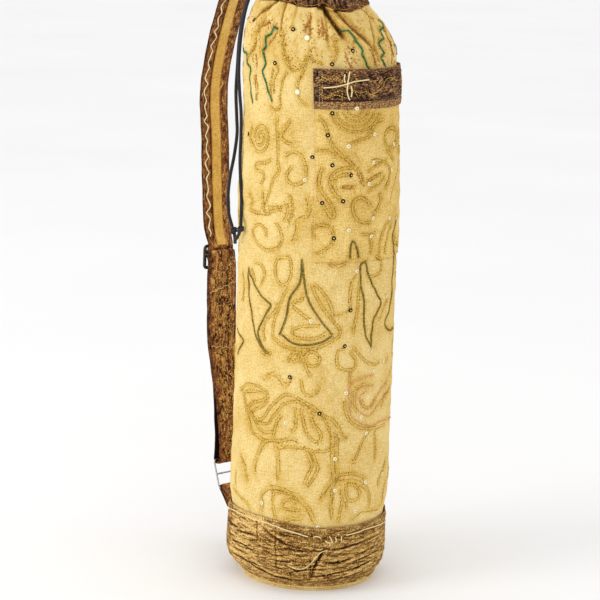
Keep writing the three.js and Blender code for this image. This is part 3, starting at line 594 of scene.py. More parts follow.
# Creases of the band, drawn over the photo: the line's pixels, its depth and half width in millimetres
BAND_CREASES = [
    ([(232, 551), (243, 558), (250, 562.5), (258, 568), (268, 573), (280, 577.5), (290, 579.5),
      (300, 580.5)], 2.2, 0.9),
    ([(249, 560), (256, 564), (263, 569)], 1.6, 0.8),
    ([(262, 531), (270, 537), (277, 541), (286, 545.5), (299, 548.5), (311, 550.5)], 1.4, 0.7),
    ([(276, 549), (288, 549.5), (300, 551), (312, 552)], 1.6, 0.8),
    ([(322, 547), (331, 550), (341, 548.5), (353, 545), (366, 540), (379, 533)], 1.3, 0.7),
    ([(324, 562.5), (333, 563.5), (341, 562), (350, 558)], 2.0, 0.9),
    ([(289, 567.5), (297, 571), (305, 570), (313, 565.5)], 1.4, 0.7),
    ([(311, 578), (313, 570), (317, 562), (321, 555), (324, 549)], 2.0, 1.0),
    ([(310, 577), (322, 576), (336, 573), (352, 569), (367, 562)], 1.3, 0.7),
    ([(311, 583), (326, 581), (345, 577), (362, 571)], 1.2, 0.7),
    ([(350, 571), (362, 565), (376, 556)], 1.2, 0.6),
    ([(352, 563), (364, 557), (378, 549)], 1.0, 0.6),
    ([(354, 556), (366, 550), (380, 542)], 1.0, 0.6),
    ([(233, 540), (241, 546), (250, 549), (256, 553)], 1.0, 0.7),
    ([(233, 546), (240, 550), (247, 554)], 0.9, 0.6),
    ([(234, 529), (243, 534), (252, 536)], 0.8, 0.6),
    ([(275.5, 527), (275, 545), (276, 562), (278, 574)], 0.9, 0.6),
    ([(310.5, 556), (310, 570), (310, 584)], 0.9, 0.6),
    ([(257, 524), (257, 534), (256.5, 543)], 0.9, 0.6),
    ([(281, 556), (290, 553.5), (300, 556), (309, 555)], 0.9, 0.6),
    ([(337, 553), (338, 560), (337, 568)], 0.7, 0.5),
]

# Patches of the band: the angle where each starts, and its tint
BAND_PATCHES = [(0, 0.6), (30, -0.4), (70, 0.3), (120, 0.9), (160, -0.2), (200, 1.5), (238, 0.4), (250, -0.3),
                (276, 0.1), (320, 0.6)]
PATCH_SEAM = 0.5
# Rises of the band's top edge: angle, lift
BAND_RISES = [(0, 0.0), (140, 0.0), (180, 4.0), (200, 6.0), (237, 6.5), (264, 2.5), (276, 0.0), (360, 0.0)]
BAND_FLECKS = {
    "left star": [(271, 555), (275, 557.5), (280, 556)],
    "left star upright": [(275, 551), (275.5, 557), (275, 562)],
    "left trail": [(283, 557), (288, 553), (294, 554), (299, 557)],
    "left corner": [(262, 541), (268, 545), (272, 550)],
    "right star": [(344, 559), (349, 554.5), (352, 551)],
    "right star bar": [(345, 554), (350, 556), (354, 554)],
    "right trail": [(356, 549), (361, 546.5), (366, 545)],
    "low bit": [(296, 572), (303, 573)],
    "low right bit": [(344, 566), (347, 571)],
    "bottom bit": [(290, 577), (297, 579)],
}
BAND_WAVE = [(288, 565), (296, 568.5), (303, 568.5), (310, 564), (316, 557), (321, 552), (327, 550)]
BAND_BACK_ROW = [(18, 68), (60, 68.5), (110, 68), (150, 68), (192, 68.5)]

# Thread sizes in millimetres
COUCHED_PITCH = 1.6
COUCHED_SWING = 0.16
# The dark tones of the edge rows are painted shade at the sides of each couched line, and the bright tones of
# the middle rows a painted highlight on it.
COUCHED_ROWS = [(-1.0, 0.14), (-0.36, 0.88), (0.36, 0.92), (1.0, 0.18)]  # share of the spread, tone
COUCHED_SPREAD = 1.35
COUCHED_DOT = (1.6, 0.95, 0.8)
BOLD_SPREAD = 2.1
BOLD_LINES = {
    "fore leg", "second leg", "hind leg", "hind leg right", "long drop", "squiggle", "left arch",
    "right arch",
}
FINE_SPREAD = 0.7
RUST_SPREAD = 0.7
FINE_LINES = {
    "cup", "cup left", "tall stem", "leaf", "leaf left", "leaf right", "stem side", "shoulder left",
    "bead tail", "left stitches", "beak", "drop line", "pocket hook", "short arc", "skirt link",
    "right arch third post", "tail back", "rump", "right ray twin", "wing line", "wing line low", "fan tail",
}
SEED_STITCH = (1.9, 1.15, 1.0)
CHAIN_PITCH = 1.7
CHAIN_SIZE = (2.5, 1.35, 1.05)
CHAIN_SPREAD = 0.6
CHAIN_TURN = 16.0

# Running stitches: length, gap, width. Threads: radius. Both lie off the cloth by their lift.
PINK_STITCH = (1.8, 0.3, 1.4)
SEAM_STITCH = (1.8, 0.9, 0.6)
FOOT_STITCH = (2.0, 0.4, 0.6)
BACK_ROW_STITCH, BACK_ROW_LIFT = (3.6, 0.1, 1.3), 1.3
TRIM_STITCH, TRIM_LIFT = (2.3, 0.15, 0.85), 0.9
TRIM_ROW_STITCH, TRIM_ROW_LIFT = (1.5, 1.0, 0.6), 0.7
FLECK_STITCH, BAND_LIFT = (1.3, 0.9, 1.0), 1.1
BAND_THREAD, BAND_WAVE_THREAD, TRIM_CROSS_THREAD = 0.6, 0.4, 0.72
CASING_THREAD, STRAP_THREAD = 0.26, 0.32
THREAD_PITCH = 1.6
SPECK_SIZE, SPECK_LIFT = (1.8, 0.9, 0.7), 0.9
SPECK_HEIGHTS = (12, 66)
SEQUIN_RADIUS = 2.3
SEQUIN_SIDES = 10
BIG_SEQUIN = 1.35
BACK_TURN = 178.0
SIDE_ANGLE = 178.0  # the side between the front's strokes and the back's, where these are repeated
SIDE_LINES = ["round leaf", "round loop", "wide bowl", "long loop", "ring", "squiggle", "right arch eye"]
SEWN_END, SEWN_HALF = (4.0, 32.0), 15.5
SEWN_PITCH, SEWN_STITCH, SEWN_LIFT = 2.6, (2.2, 0.9, 0.7), 0.3
FLECKS = 800
FLECK_SIZE = (2.0, 0.95, 0.6)
FLECK_COLUMNS = [-11.0, -6.0, -1.0, 3.0, 8.0, 13.0]
FLECK_LIFT = 0.35
CROSS_HALF, CROSS_LIFT = 18.5, 0.5
CROSS_THREADS = [(284, 5.0), (216, -3.0)]  # height, slope

random = np.random.default_rng(SEED)


# Small helpers

def smoothstep(value, low, high):
    share = np.clip((value - low) / (high - low), 0, 1)
    return share * share * (3 - 2 * share)


def bell(offset, width):
    return np.exp(-0.5 * (offset / width) ** 2)


def wrapped(degrees):
    return (degrees + 180) % 360 - 180


def unit(vectors):
    return vectors / np.maximum(np.linalg.norm(vectors, axis=-1, keepdims=True), 1e-12)


def eased(rows, column, height):
    """A smooth line through one column of a table whose first column is the height."""
    heights, values = rows[:, 0], rows[:, column]
    slopes = np.gradient(values, heights)
    i = np.clip(np.searchsorted(heights, height) - 1, 0, len(heights) - 2)
    span = heights[i + 1] - heights[i]
    t = np.clip((height - heights[i]) / span, 0, 1)
    start = (2 * t**3 - 3 * t**2 + 1) * values[i] + (t**3 - 2 * t**2 + t) * slopes[i] * span
    end = (3 * t**2 - 2 * t**3) * values[i + 1] + (t**3 - t**2) * slopes[i + 1] * span
    return start + end


def catmull(points, count):
    """A smooth line through the points, with count steps between each two."""
    p = np.asarray(points, dtype=float)
    p = np.vstack([2 * p[0] - p[1], p, 2 * p[-1] - p[-2]])
    t = np.linspace(0, 1, count, endpoint=False)[:, None]
    spans = []
    for a, b, c, d in zip(p[:-3], p[1:-2], p[2:-1], p[3:]):
        spans.append(0.5 * (2 * b + (c - a) * t + (2 * a - 5 * b + 4 * c - d) * t**2
                            + (3 * b - a - 3 * c + d) * t**3))
    return np.vstack(spans + [p[-2:-1]])


def runs(points):
    """How far along a line each of its points is."""
    return np.concatenate([[0], np.cumsum(np.linalg.norm(np.diff(points, axis=0), axis=1))])


def line_length(points):
    return float(runs(points)[-1])


def even(points, pitch):
    """The same line with its points about one pitch apart."""
    run = runs(points)
    count = max(2, int(round(run[-1] / pitch)) + 1)
    at = np.linspace(0, run[-1], count)
    return np.stack([np.interp(at, run, points[:, k]) for k in range(points.shape[1])], axis=1)


def crumpled(points, across, along, seed, smooth=58):
    """Creases of crumpled cloth: 1 along each thin crease and 0 on the puffs between, with a crease about
    across long and along apart, in millimetres. The second value is a soft swell from -1 to 1."""
    scaled = (np.asarray(points) / np.array([across, across, along])).reshape(-1, 3)
    ridges = [noise.ridged_multi_fractal((x + seed, y, z), 0.8, 2.2, 3, 1.0, 2.0) for x, y, z in scaled]
    soft = [noise.fractal((x * 0.6, y * 0.6 + seed, z * 0.6), 0.7, 2.0, 3) for x, y, z in scaled]
    low, high = np.percentile(ridges, [smooth, 98])
    creases = np.clip((np.array(ridges) - low) / (high - low), 0, 1)
    swells = np.clip(1.6 * np.array(soft), -1, 1)
    shape = np.shape(points)[:-1]
    return creases.reshape(shape), swells.reshape(shape)


# Meshes

def mesh_object(name, points, faces, uv=None, marks=None):
    """A smooth mesh in metres from points in millimetres, with its faces turned outwards. marks are named
    values at its points, which the materials read."""
    mesh = bpy.data.meshes.new(name)
    mesh.from_pydata((np.asarray(points) * MM).tolist(), [], [list(map(int, face)) for face in faces])
    if uv is not None:
        layer = mesh.uv_layers.new(name="cloth")
        layer.data.foreach_set("uv", np.asarray(uv, dtype=np.float32).ravel())
    for key, values in (marks or {}).items():
        mark = mesh.attributes.new(key, "FLOAT", "POINT")
        mark.data.foreach_set("value", np.asarray(values, dtype=np.float32))
    turned = bmesh.new()
    turned.from_mesh(mesh)
    bmesh.ops.recalc_face_normals(turned, faces=turned.faces)
    turned.to_mesh(mesh)
    turned.free()
    mesh.polygons.foreach_set("use_smooth", [True] * len(mesh.polygons))
    made = bpy.data.objects.new(name, mesh)
    bpy.context.scene.collection.objects.link(made)
    return made


def slab(name, outer, inner, wrap, uv_size, marks=None, under=None):
    """Two grids of points joined round their edges into one closed sheet of cloth. The inner grid may have
    fewer rows if the sheet is a whole tube. uv_size is the sheet's flat width and height in millimetres, and
    under holds the marks of the inner grid."""
    columns = outer.shape[1]
    last = columns if wrap else columns - 1
    counts = [outer.shape[0], inner.shape[0]]
    starts = [0, counts[0] * columns]
    faces, uvs = [], []

    def spread(row, column, layer):
        return np.stack([column * uv_size[0] / last, row * uv_size[1] / (counts[layer] - 1)], axis=-1) * MM

    for layer in (0, 1):
        r, c = np.meshgrid(np.arange(counts[layer] - 1), np.arange(last), indexing="ij")
        r, c = r.ravel(), c.ravel()
        row, column = np.stack([r, r, r + 1, r + 1], axis=1), np.stack([c, c + 1, c + 1, c], axis=1)
        if layer:
            row, column = row[:, ::-1], column[:, ::-1]
        faces.append(starts[layer] + row * columns + column % columns)
        uvs.append(spread(row, column, layer))
    edge = np.arange(last)
    for outer_row, inner_row in ((0, 0), (counts[0] - 1, counts[1] - 1)):
        column = np.stack([edge, edge + 1, edge + 1, edge], axis=1)
        around = column % columns
        outside = outer_row * columns + around[:, :2]
        inside = starts[1] + inner_row * columns + around[:, 2:]
        faces.append(np.hstack([outside, inside]))
        uvs.append(spread(np.full(column.shape, outer_row), column, 0))
    if not wrap:
        side = np.arange(counts[0] - 1)
        for at in (0, columns - 1):
            row = np.stack([side, side + 1, side + 1, side], axis=1)
            faces.append(np.hstack([row[:, :2] * columns + at, starts[1] + row[:, 2:] * columns + at]))
            uvs.append(spread(row, np.full(row.shape, at), 0))
    points = np.concatenate([outer.reshape(-1, 3), inner.reshape(-1, 3)])
    plain = np.zeros(inner.shape[:2])
    values = {key: np.concatenate([np.ravel(mark), np.ravel((under or {}).get(key, plain))])
              for key, mark in (marks or {}).items()}
    return mesh_object(name, points, np.vstack(faces), np.vstack(uvs).reshape(-1, 2), values)


def capped_faces(count, sides):
    """Faces of a closed tube of count rings, with the points of its two ends after those of the rings."""
    faces = []
    for i in range(count - 1):
        for k in range(sides):
            n = (k + 1) % sides
            faces.append((i * sides + k, i * sides + n, (i + 1) * sides + n, (i + 1) * sides + k))
    first, final, last = count * sides, count * sides + 1, (count - 1) * sides
    for k in range(sides):
        n = (k + 1) % sides
        faces.append((first, n, k))
        faces.append((final, last + k, last + n))
    return faces


def tube_parts(points, radius, sides, relief=None):
    """Points and faces of a round cord along a line, in millimetres; relief(run, turn) swells it."""
    tangents = unit(np.gradient(points, axis=0))
    normal = unit(np.cross(tangents[0], [0.3, 0.8, 0.52]))
    turns = np.linspace(0, 2 * math.pi, sides, endpoint=False)
    rings = []
    for point, tangent, run in zip(points, tangents, runs(points)):
        normal = unit(normal - tangent * np.dot(normal, tangent))
        side = np.cross(tangent, normal)
        reach = radius + (relief(run, turns) if relief else 0 * turns)
        ring = np.cos(turns)[:, None] * normal + np.sin(turns)[:, None] * side
        rings.append(point + reach[:, None] * ring)
    caps = tangents[[0, -1]] * radius * 0.3
    ends = [points[:1] - caps[:1], points[-1:] + caps[1:]]
    return np.vstack(rings + ends), capped_faces(len(points), sides)


def joined(parts):
    """The points and faces of several parts as one."""
    faces, start = [], 0
    for part in parts:
        faces.extend([tuple(k + start for k in face) for face in part[1]])
        start += len(part[0])
    return np.vstack([part[0] for part in parts]), faces


# Cloth surfaces

wave_around = random.integers(3, 40, PUCKER_WAVES)
wave_up = random.uniform(-0.42, 0.42, PUCKER_WAVES)
wave_phase = random.uniform(0, 2 * math.pi, PUCKER_WAVES)
wave_size = PUCKER_SIZE / (0.5 + 2.4 * np.hypot(wave_around / CLOTH_RADIUS, wave_up))


def pucker(angle, z):
    total = 0
    for around, up, phase, size in zip(wave_around, wave_up, wave_phase, wave_size):
        total = total + size * np.sin(around * np.radians(angle) + up * z + phase)
    return total


def seam_rise(angle):
    return sum(lift * bell(wrapped(angle - middle), width) for middle, width, lift in SEAM_RISES)


def unrolled(angle, z):
    """Angles and heights as millimetres on the flattened cloth."""
    return np.stack([np.radians(angle) * CLOTH_RADIUS, z], axis=-1)


def fold_depth(angle, z, folds=None):
    """How far the drawn folds sink, those of the shoulder unless others are given, with a low puff on both
    sides of each."""
    total = np.zeros(np.shape(angle))
    here = unrolled(angle, z)
    for line, depth, half in folds or shoulder_folds:
        nearest = np.full(np.shape(angle), 1e9)
        place = np.zeros(np.shape(angle))
        for k, (start, end) in enumerate(zip(line[:-1], line[1:])):
            along = end - start
            share = np.clip(np.sum((here - start) * along, axis=-1) / np.dot(along, along), 0, 1)
            gap = here - start - share[..., None] * along
            reach = np.hypot(gap[..., 0] * 0.85, gap[..., 1])
            place = np.where(reach < nearest, (k + share) / (len(line) - 1), place)
            nearest = np.minimum(nearest, reach)
        fade = 0.25 + 0.75 * np.sin(math.pi * place) if folds else 1 - 0.6 * place**2
        fall = np.exp(-((nearest / half) ** 1.4)) - 0.22 * bell(nearest - 3.2 * half, 1.4 * half)
        total = total + depth * fade * fall
    return total


def gather_depth(angle, below):
    total = 0
    for middle, depth, width, reach, slant in GATHERS:
        off = wrapped(angle - middle - slant * np.clip(below, 0, reach))
        fade = 1 - smoothstep(below, 0, reach)
        shape = (1 - SHARP_SHARE) * bell(off, width) + SHARP_SHARE * np.exp(-np.abs(off) / (0.4 * width))
        total = total + depth * fade * shape
    return total


def valley(angle):
    total = 0
    for middle, _, width, _, _ in GATHERS:
        total = total + bell(wrapped(angle - middle), width)
    return np.minimum(1, total)


def body_radius(angle, z):
    calm = smoothstep(z, CALM_FROM, CALM_TO)
    folds = gather_depth(angle, SEAM_Z - z) + fold_depth(angle, z)
    belly = BELLY_DEPTH * bell(wrapped(angle - BELLY_ANGLE), BELLY_WIDE) * bell(z - BELLY_Z, BELLY_TALL)
    return eased(BODY_RINGS, RADIUS, z) + belly - folds + calm * pucker(angle, z)


def pocket_off(angle, z):
    across = np.clip((angle - POCKET_FROM) / (POCKET_TO - POCKET_FROM), 0, 1)
    lift = np.clip((z - POCKET_BOTTOM) / (POCKET_TOP - POCKET_BOTTOM), 0, 1)
    return SEAM_GAP + POCKET_SLACK * np.sin(math.pi * across) * lift**2


def at_radius(angle, z, radius):
    turn = np.radians(angle)
    shift, tilt = eased(BODY_RINGS, SHIFT, z), eased(BODY_RINGS, TILT, z)
    shift = np.where(z < BAND_TOP, eased(BAND_RINGS, SHIFT, np.minimum(z, BAND_TOP)), shift)
    height = z - tilt * np.cos(turn) + seam_rise(angle) * smoothstep(z, 572, SEAM_Z)
    return np.stack([shift + radius * np.cos(turn), radius * np.sin(turn), height], axis=-1)


def band_radius(z):
    return eased(BAND_RINGS, RADIUS, np.minimum(z, BAND_TOP))


def top_layer(angle, z):
    """The outermost cloth at an angle and height: tube, pocket, trim or band."""
    turned = np.where(angle < POCKET_TO - 360, angle + 360, angle)
    radius = body_radius(angle, z)
    on_pocket = (turned > POCKET_FROM) & (turned < POCKET_TO) & (z > POCKET_BOTTOM) & (z < POCKET_TOP)
    on_trim = (turned > POCKET_FROM - TRIM_OVERHANG) & (turned < POCKET_TO + TRIM_OVERHANG)
    on_trim = on_trim & (z > TRIM_BOTTOM) & (z < TRIM_TOP)
    pocket = pocket_off(turned, z) + POCKET_WALL
    radius = radius + np.where(on_pocket | on_trim, pocket, 0)
    radius = radius + np.where(on_trim, TRIM_GAP + TRIM_WALL, 0)
    edge = BAND_TOP + np.interp(angle % 360, *np.array(BAND_RISES).T)
    radius = np.where(z < edge, np.maximum(band_radius(z), np.where(z < BAND_TOP, 0, radius)), radius)
    return at_radius(angle, z, radius)


def surface_frame(angle, z):
    """Points on the outermost cloth, with the way outward."""
    here = top_layer(angle, z)
    turn = np.radians(angle)
    outward = np.stack([np.cos(turn), np.sin(turn), 0 * turn], axis=-1)
    shoulder = smoothstep(z, LEAN_FROM, SEAM_Z)[..., None]
    outward = unit(outward + shoulder * np.array([0, 0, LEAN]))
    return here, outward


# Camera

def camera_axes():
    forward = (TARGET - EYE).normalized()
    right = forward.cross(Vector((0, 0, 1))).normalized()
    up = right.cross(forward)
    turned_right = right * math.cos(ROLL) + up * math.sin(ROLL)
    turned_up = up * math.cos(ROLL) - right * math.sin(ROLL)
    return turned_right, turned_up, forward


def make_camera():
    right, up, forward = camera_axes()
    data = bpy.data.cameras.new("camera")
    data.sensor_width = SENSOR_MM
    data.lens = FOCAL_PIXELS / PHOTO_SIDE * SENSOR_MM
    data.clip_start = 0.1
    data.clip_end = 60.0
    made = bpy.data.objects.new("camera", data)
    bpy.context.scene.collection.objects.link(made)
    turn = Matrix((right, up, -forward)).transposed().to_4x4()
    made.matrix_world = Matrix.Translation(EYE) @ turn
    bpy.context.scene.camera = made


def laid_on_cloth(pixels):
    """Angles and heights where the lines of sight through some photo pixels meet the tube."""
    right, up, forward = [np.array(axis) for axis in camera_axes()]
    eye = np.array(EYE) / MM
    rows = []
    for x, y in pixels:
        across, above = x - PHOTO_SIDE / 2, PHOTO_SIDE / 2 - y
        ray = unit(forward * FOCAL_PIXELS + right * across + up * above)
        radius, shift = CLOTH_RADIUS, 0.0
        for _ in range(SIGHT_STEPS):
            start = eye - np.array([shift, 0, 0])
            flat = ray[:2]
            middle = -np.dot(start[:2], flat) / np.dot(flat, flat)
            miss = radius**2 - np.dot(start[:2] + middle * flat, start[:2] + middle * flat)
            reach = middle - math.sqrt(max(miss, 0.0) / np.dot(flat, flat))
            hit = start + reach * ray
            z = float(np.clip(hit[2], 10.0, SEAM_Z))
            rings = BAND_RINGS if z < BAND_TOP else BODY_RINGS
            radius = float(eased(rings, RADIUS, np.array(z)))
            shift = float(eased(rings, SHIFT, np.array(z)))
        rows.append((math.degrees(math.atan2(hit[1], hit[0])) % 360, z))
    return np.array(rows)


# Materials

def srgb(red, green, blue):
    """A colour as read off a picture, from 0 to 255, as the light that a shader takes."""
    values = [c / 255 for c in (red, green, blue)]
    return tuple(c / 12.92 if c <= 0.04045 else ((c + 0.055) / 1.055) ** 2.4 for c in values) + (1.0,)


class Look:
    """One procedural material, built node by node."""

    def __init__(self, name, **settings):
        self.material = bpy.data.materials.new(name)
        self.material.use_nodes = True
        self.tree = self.material.node_tree
        self.shader = self.tree.nodes["Principled BSDF"]
        for key, value in settings.items():
            self.shader.inputs[key.replace("_", " ")].default_value = value

    def add(self, kind, inputs=(), **settings):
        node = self.tree.nodes.new(kind)
        for key, value in settings.items():
            setattr(node, key, value)
        for key, value in dict(inputs).items():
            self.feed(node.inputs[key], value)
        return node

    def feed(self, socket, value):
        if isinstance(value, bpy.types.NodeSocket):
            self.tree.links.new(value, socket)
        else:
            socket.default_value = value

    def cloth_uv(self):
        return self.add("ShaderNodeUVMap", uv_map="cloth").outputs["UV"]

    def object_place(self):
        return self.add("ShaderNodeTexCoord").outputs["Object"]

    def mark(self, name):
        """A value that the mesh carries at its points."""
        return self.add("ShaderNodeAttribute", attribute_name=name).outputs["Fac"]

    def noise(self, place, scale, detail=2.0, rough=0.55):
        mapped = self.add("ShaderNodeMapping", {"Vector": place, "Scale": scale}).outputs["Vector"]
        inputs = {"Vector": mapped, "Scale": 1.0, "Detail": detail, "Roughness": rough}
        return self.add("ShaderNodeTexNoise", inputs).outputs["Fac"]

    def blend(self, parts):
        """The sum of several values, each times its weight."""
        total = None
        for value, weight in parts:
            made = self.add("ShaderNodeMath", operation="MULTIPLY_ADD")
            self.feed(made.inputs[0], value)
            made.inputs[1].default_value = weight
            if total is None:
                made.inputs[2].default_value = 0.0
            else:
                self.feed(made.inputs[2], total)
            total = made.outputs[0]
        return total

    def ramp(self, value, stops):
        made = self.add("ShaderNodeValToRGB", {"Fac": value})
        ends = made.color_ramp.elements
        while len(ends) < len(stops):
            ends.new(0.5)
        for element, (place, colour) in zip(ends, stops):
            element.position = place
            element.color = colour
        return made.outputs["Color"]

    def colour(self, value, stops):
        self.feed(self.shader.inputs["Base Color"], self.ramp(value, stops))

    def bump(self, height, distance, strength=1.0):
        made = self.add("ShaderNodeBump", {"Height": height, "Distance": distance, "Strength": strength})
        self.feed(self.shader.inputs["Normal"], made.outputs["Normal"])


def cotton_look(name, shadow, deep, middle, pale):
    look = Look(name, Roughness=0.95, Specular_IOR_Level=0.08)
    uv = look.cloth_uv()
    warp = look.noise(uv, (1100, 130, 1))
    weft = look.noise(uv, (130, 1100, 1))
    blotch = look.noise(look.object_place(), (26, 26, 26), 3.0)
    speckle = look.noise(uv, (620, 620, 1), 4.0, 0.85)
    stitch_shade, fold_shading = look.mark("stitch_shade"), look.mark("fold_shading")
    weave = [(warp, 0.16), (weft, 0.16), (blotch, 0.2), (speckle, 0.48)]
    # Painted shade: the cloth darkens along the stitched lines and in its folds, gathers and creases.
    shade = look.blend(weave + [(stitch_shade, -0.06), (fold_shading, -0.2)])
    look.colour(shade, [(0.22, shadow), (0.42, deep), (0.5, middle), (0.58, pale)])
    look.bump(look.blend([(warp, 0.4), (weft, 0.4), (speckle, 0.4)]), 0.0006, 0.8)
    return look.material


def patchwork_look(name, dark, low, middle, pale, grain, coarse_share=0.45):
    look = Look(name, Roughness=0.85, Specular_IOR_Level=0.12)
    uv = look.cloth_uv()
    coarse = look.noise(uv, (grain[0], grain[1], 1), 3.0, 0.7)
    fine = look.noise(uv, (640, 640, 1), 4.0, 0.85)
    # The swell mark makes the cloth a little lighter where it bulges out, a painted light; it also carries
    # the band's patch tints and the trim's lighter hem strip, which are the cloth's own colour.
    fold_shading, swell = look.mark("fold_shading"), look.mark("swell")
    # The fold mark darkens the creases, folds and edges, a painted shade.
    shade = look.blend([(coarse, coarse_share), (fine, 1 - coarse_share), (swell, 0.03), (fold_shading, -0.18)])
    look.colour(shade, [(0.34, dark), (0.44, low), (0.51, middle), (0.59, pale)])
    look.bump(fine, 0.0009, 0.7)
    return look.material


def thread_look(name, dark, middle, pale, roughness=0.55):
    look = Look(name, Roughness=roughness, Specular_IOR_Level=0.12)
    tone = look.mark("tone")
    fuzz = look.noise(look.object_place(), (1900, 1900, 1900), 1.0)
    look.colour(look.blend([(tone, 0.8), (fuzz, 0.2)]), [(0.15, dark), (0.5, middle), (0.85, pale)])
    return look.material


def metal_look(name, dark, pale, roughness):
    look = Look(name, Metallic=1.0, Roughness=roughness)
    worn = look.noise(look.object_place(), (420, 420, 420), 4.0)
    look.colour(worn, [(0.35, dark), (0.65, pale)])
    return look.material


def sequin_look(name, ring, between, middle):
    look = Look(name, Roughness=0.4, Specular_IOR_Level=0.02)
    worn = look.noise(look.object_place(), (900, 900, 900), 2.0)
    tone = look.blend([(look.mark("tone"), 0.8), (worn, 0.2)])
    look.colour(tone, [(0.2, ring), (0.5, between), (0.8, middle)])
    return look.material


def cord_look():
    look = Look("black cord", Roughness=0.7, Specular_IOR_Level=0.3, Sheen_Weight=0.1)
    fibres = look.noise(look.object_place(), (1500, 1500, 600), 2.0)
    look.colour(fibres, [(0.3, srgb(14, 12, 14)), (0.7, srgb(52, 48, 52))])
    look.bump(fibres, 0.0003, 0.5)
    return look.material


def floor_look():
    look = Look("floor", Roughness=0.9, Specular_IOR_Level=0.1)
    tint = look.noise(look.object_place(), (1.5, 1.5, 1.5), 2.0)
    look.colour(tint, [(0.3, (0.94, 0.94, 0.94, 1)), (0.7, (0.97, 0.97, 0.97, 1))])
    return look.material


body_cotton = cotton_look("body cotton", srgb(96, 60, 24), srgb(208, 166, 76), srgb(230, 200, 128),
                          srgb(244, 220, 156))
pocket_cotton = cotton_look("pocket cotton", srgb(96, 60, 24), srgb(192, 149, 64), srgb(226, 190, 108),
                            srgb(248, 221, 150))
stripe_cotton = cotton_look("stripe cotton", srgb(96, 60, 24), srgb(212, 164, 76), srgb(238, 198, 110),
                            srgb(252, 222, 146))
brown_patchwork = patchwork_look("brown patchwork", srgb(24, 11, 3), srgb(98, 64, 26), srgb(158, 114, 55),
                                 srgb(244, 206, 130), (120, 520), 0.32)
trim_patchwork = patchwork_look("trim patchwork", srgb(18, 9, 7), srgb(70, 44, 33), srgb(114, 77, 50),
                                srgb(212, 164, 104), (300, 900))
strap_cloth = patchwork_look("strap cloth", srgb(26, 12, 6), srgb(118, 74, 44), srgb(170, 114, 66),
                             srgb(246, 202, 124), (430, 120))
gold_thread = thread_look("gold thread", srgb(136, 84, 18), srgb(234, 181, 58), srgb(255, 234, 122))
green_thread = thread_look("green thread", srgb(0, 84, 52), srgb(6, 128, 84), srgb(60, 168, 122))
olive_thread = thread_look("olive thread", srgb(92, 80, 28), srgb(138, 120, 52), srgb(180, 160, 90))
pink_thread = thread_look("pink thread", srgb(196, 112, 92), srgb(228, 152, 128), srgb(246, 192, 168))
cream_thread = thread_look("cream thread", srgb(204, 170, 100), srgb(240, 216, 148), srgb(255, 244, 200))
rust_thread = thread_look("rust thread", srgb(130, 74, 18), srgb(190, 120, 42), srgb(228, 166, 80))
seam_thread = thread_look("seam thread", srgb(214, 172, 104), srgb(240, 210, 150), srgb(250, 232, 190))
black_cord = cord_look()
dark_metal = metal_look("dark metal", srgb(40, 35, 30), srgb(86, 78, 68), 0.42)
steel_wire = metal_look("steel wire", srgb(170, 174, 180), srgb(214, 217, 222), 0.28)
pale_sequin = sequin_look("pale sequin", srgb(255, 246, 206), srgb(246, 226, 150), srgb(186, 136, 56))
# The bronze sequins' pale middle stands for their centre bead and for a painted glint.
bronze_sequin = sequin_look("bronze sequin", srgb(26, 13, 4), srgb(56, 34, 12), srgb(236, 206, 136))


def finish_piece(piece, material, nodes=()):
    piece.data.materials.append(material)
    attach(piece, "root")
    if nodes:
        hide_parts(*nodes)
    return piece


# Drawcord

def braid(run, turns):
    """The raised strands of a braided cord."""
    twist = run * BRAID_TURN
    return BRAID_RELIEF * np.sin(2 * turns + twist) * np.sin(2 * turns - twist)


def make_strand(name, route, node):
    line = even(catmull(np.array(route) / MM, 12), 1.0)
    points, faces = tube_parts(line, CORD_RADIUS / MM, 12, braid)
    made = finish_piece(mesh_object(name, points, faces), black_cord, [node])
    return made, line


def make_knot(name, middle, tail, node):
    """A knot drawn up tight: a short coil of cord with one turn across it, and the cord's cut tail below."""
    t = np.linspace(0, 1, 60)
    turn = 2 * math.pi * KNOT_TURNS * t
    coil = np.stack([np.cos(turn), np.sin(turn), KNOT_RISE * (1 - 2 * t) + 0.35 * np.sin(turn)], axis=1)
    t = np.linspace(0.15, 0.95, 30)
    rise = 1.5 * KNOT_RISE * (1 - 2 * t)
    across = np.stack([1.1 * np.cos(math.pi * t), -1.25 * np.sin(math.pi * t), rise], axis=1)
    centre = np.array(middle) / MM
    end = np.array(tail) / MM
    parts = [tube_parts(centre + line * KNOT_REACH / MM, KNOT_CORD / MM, 9, braid) for line in (coil, across)]
    cut = np.array([centre, centre * 0.45 + end * 0.55 + [0.4, 0, 0], end])
    parts.append(tube_parts(even(catmull(cut, 8), 1.0), CORD_RADIUS / MM, 10, braid))
    points, faces = joined(parts)
    return finish_piece(mesh_object(name, points, faces), black_cord, [node])


def make_drawcord():
    for name, route, middle, tail in (
        ("front", STRAND_FRONT, KNOT_FRONT, TAIL_FRONT),
        ("back", STRAND_BACK, KNOT_BACK, TAIL_BACK),
    ):
        knot = make_knot(f"knot_{name}_cord", middle, tail, f"knot_{name}")
        strand, line = make_strand(f"strand_{name}_cord", route, f"drawcord_{name}")
    start, sweep = GAP_ANGLE + GAP_HALF + 0.3, 360 - 2 * GAP_HALF - 0.6
    angles = start + sweep * np.linspace(0, 1, 160)
    hidden = np.array([casing_point(a, CASING_CORD, 0.0, 0.0) for a in angles])
    points, faces = tube_parts(hidden, CORD_RADIUS / MM, 8)
    finish_piece(mesh_object("casing_cord", points, faces), black_cord, ["drawcord_in_casing"])


# Tube, casing and base

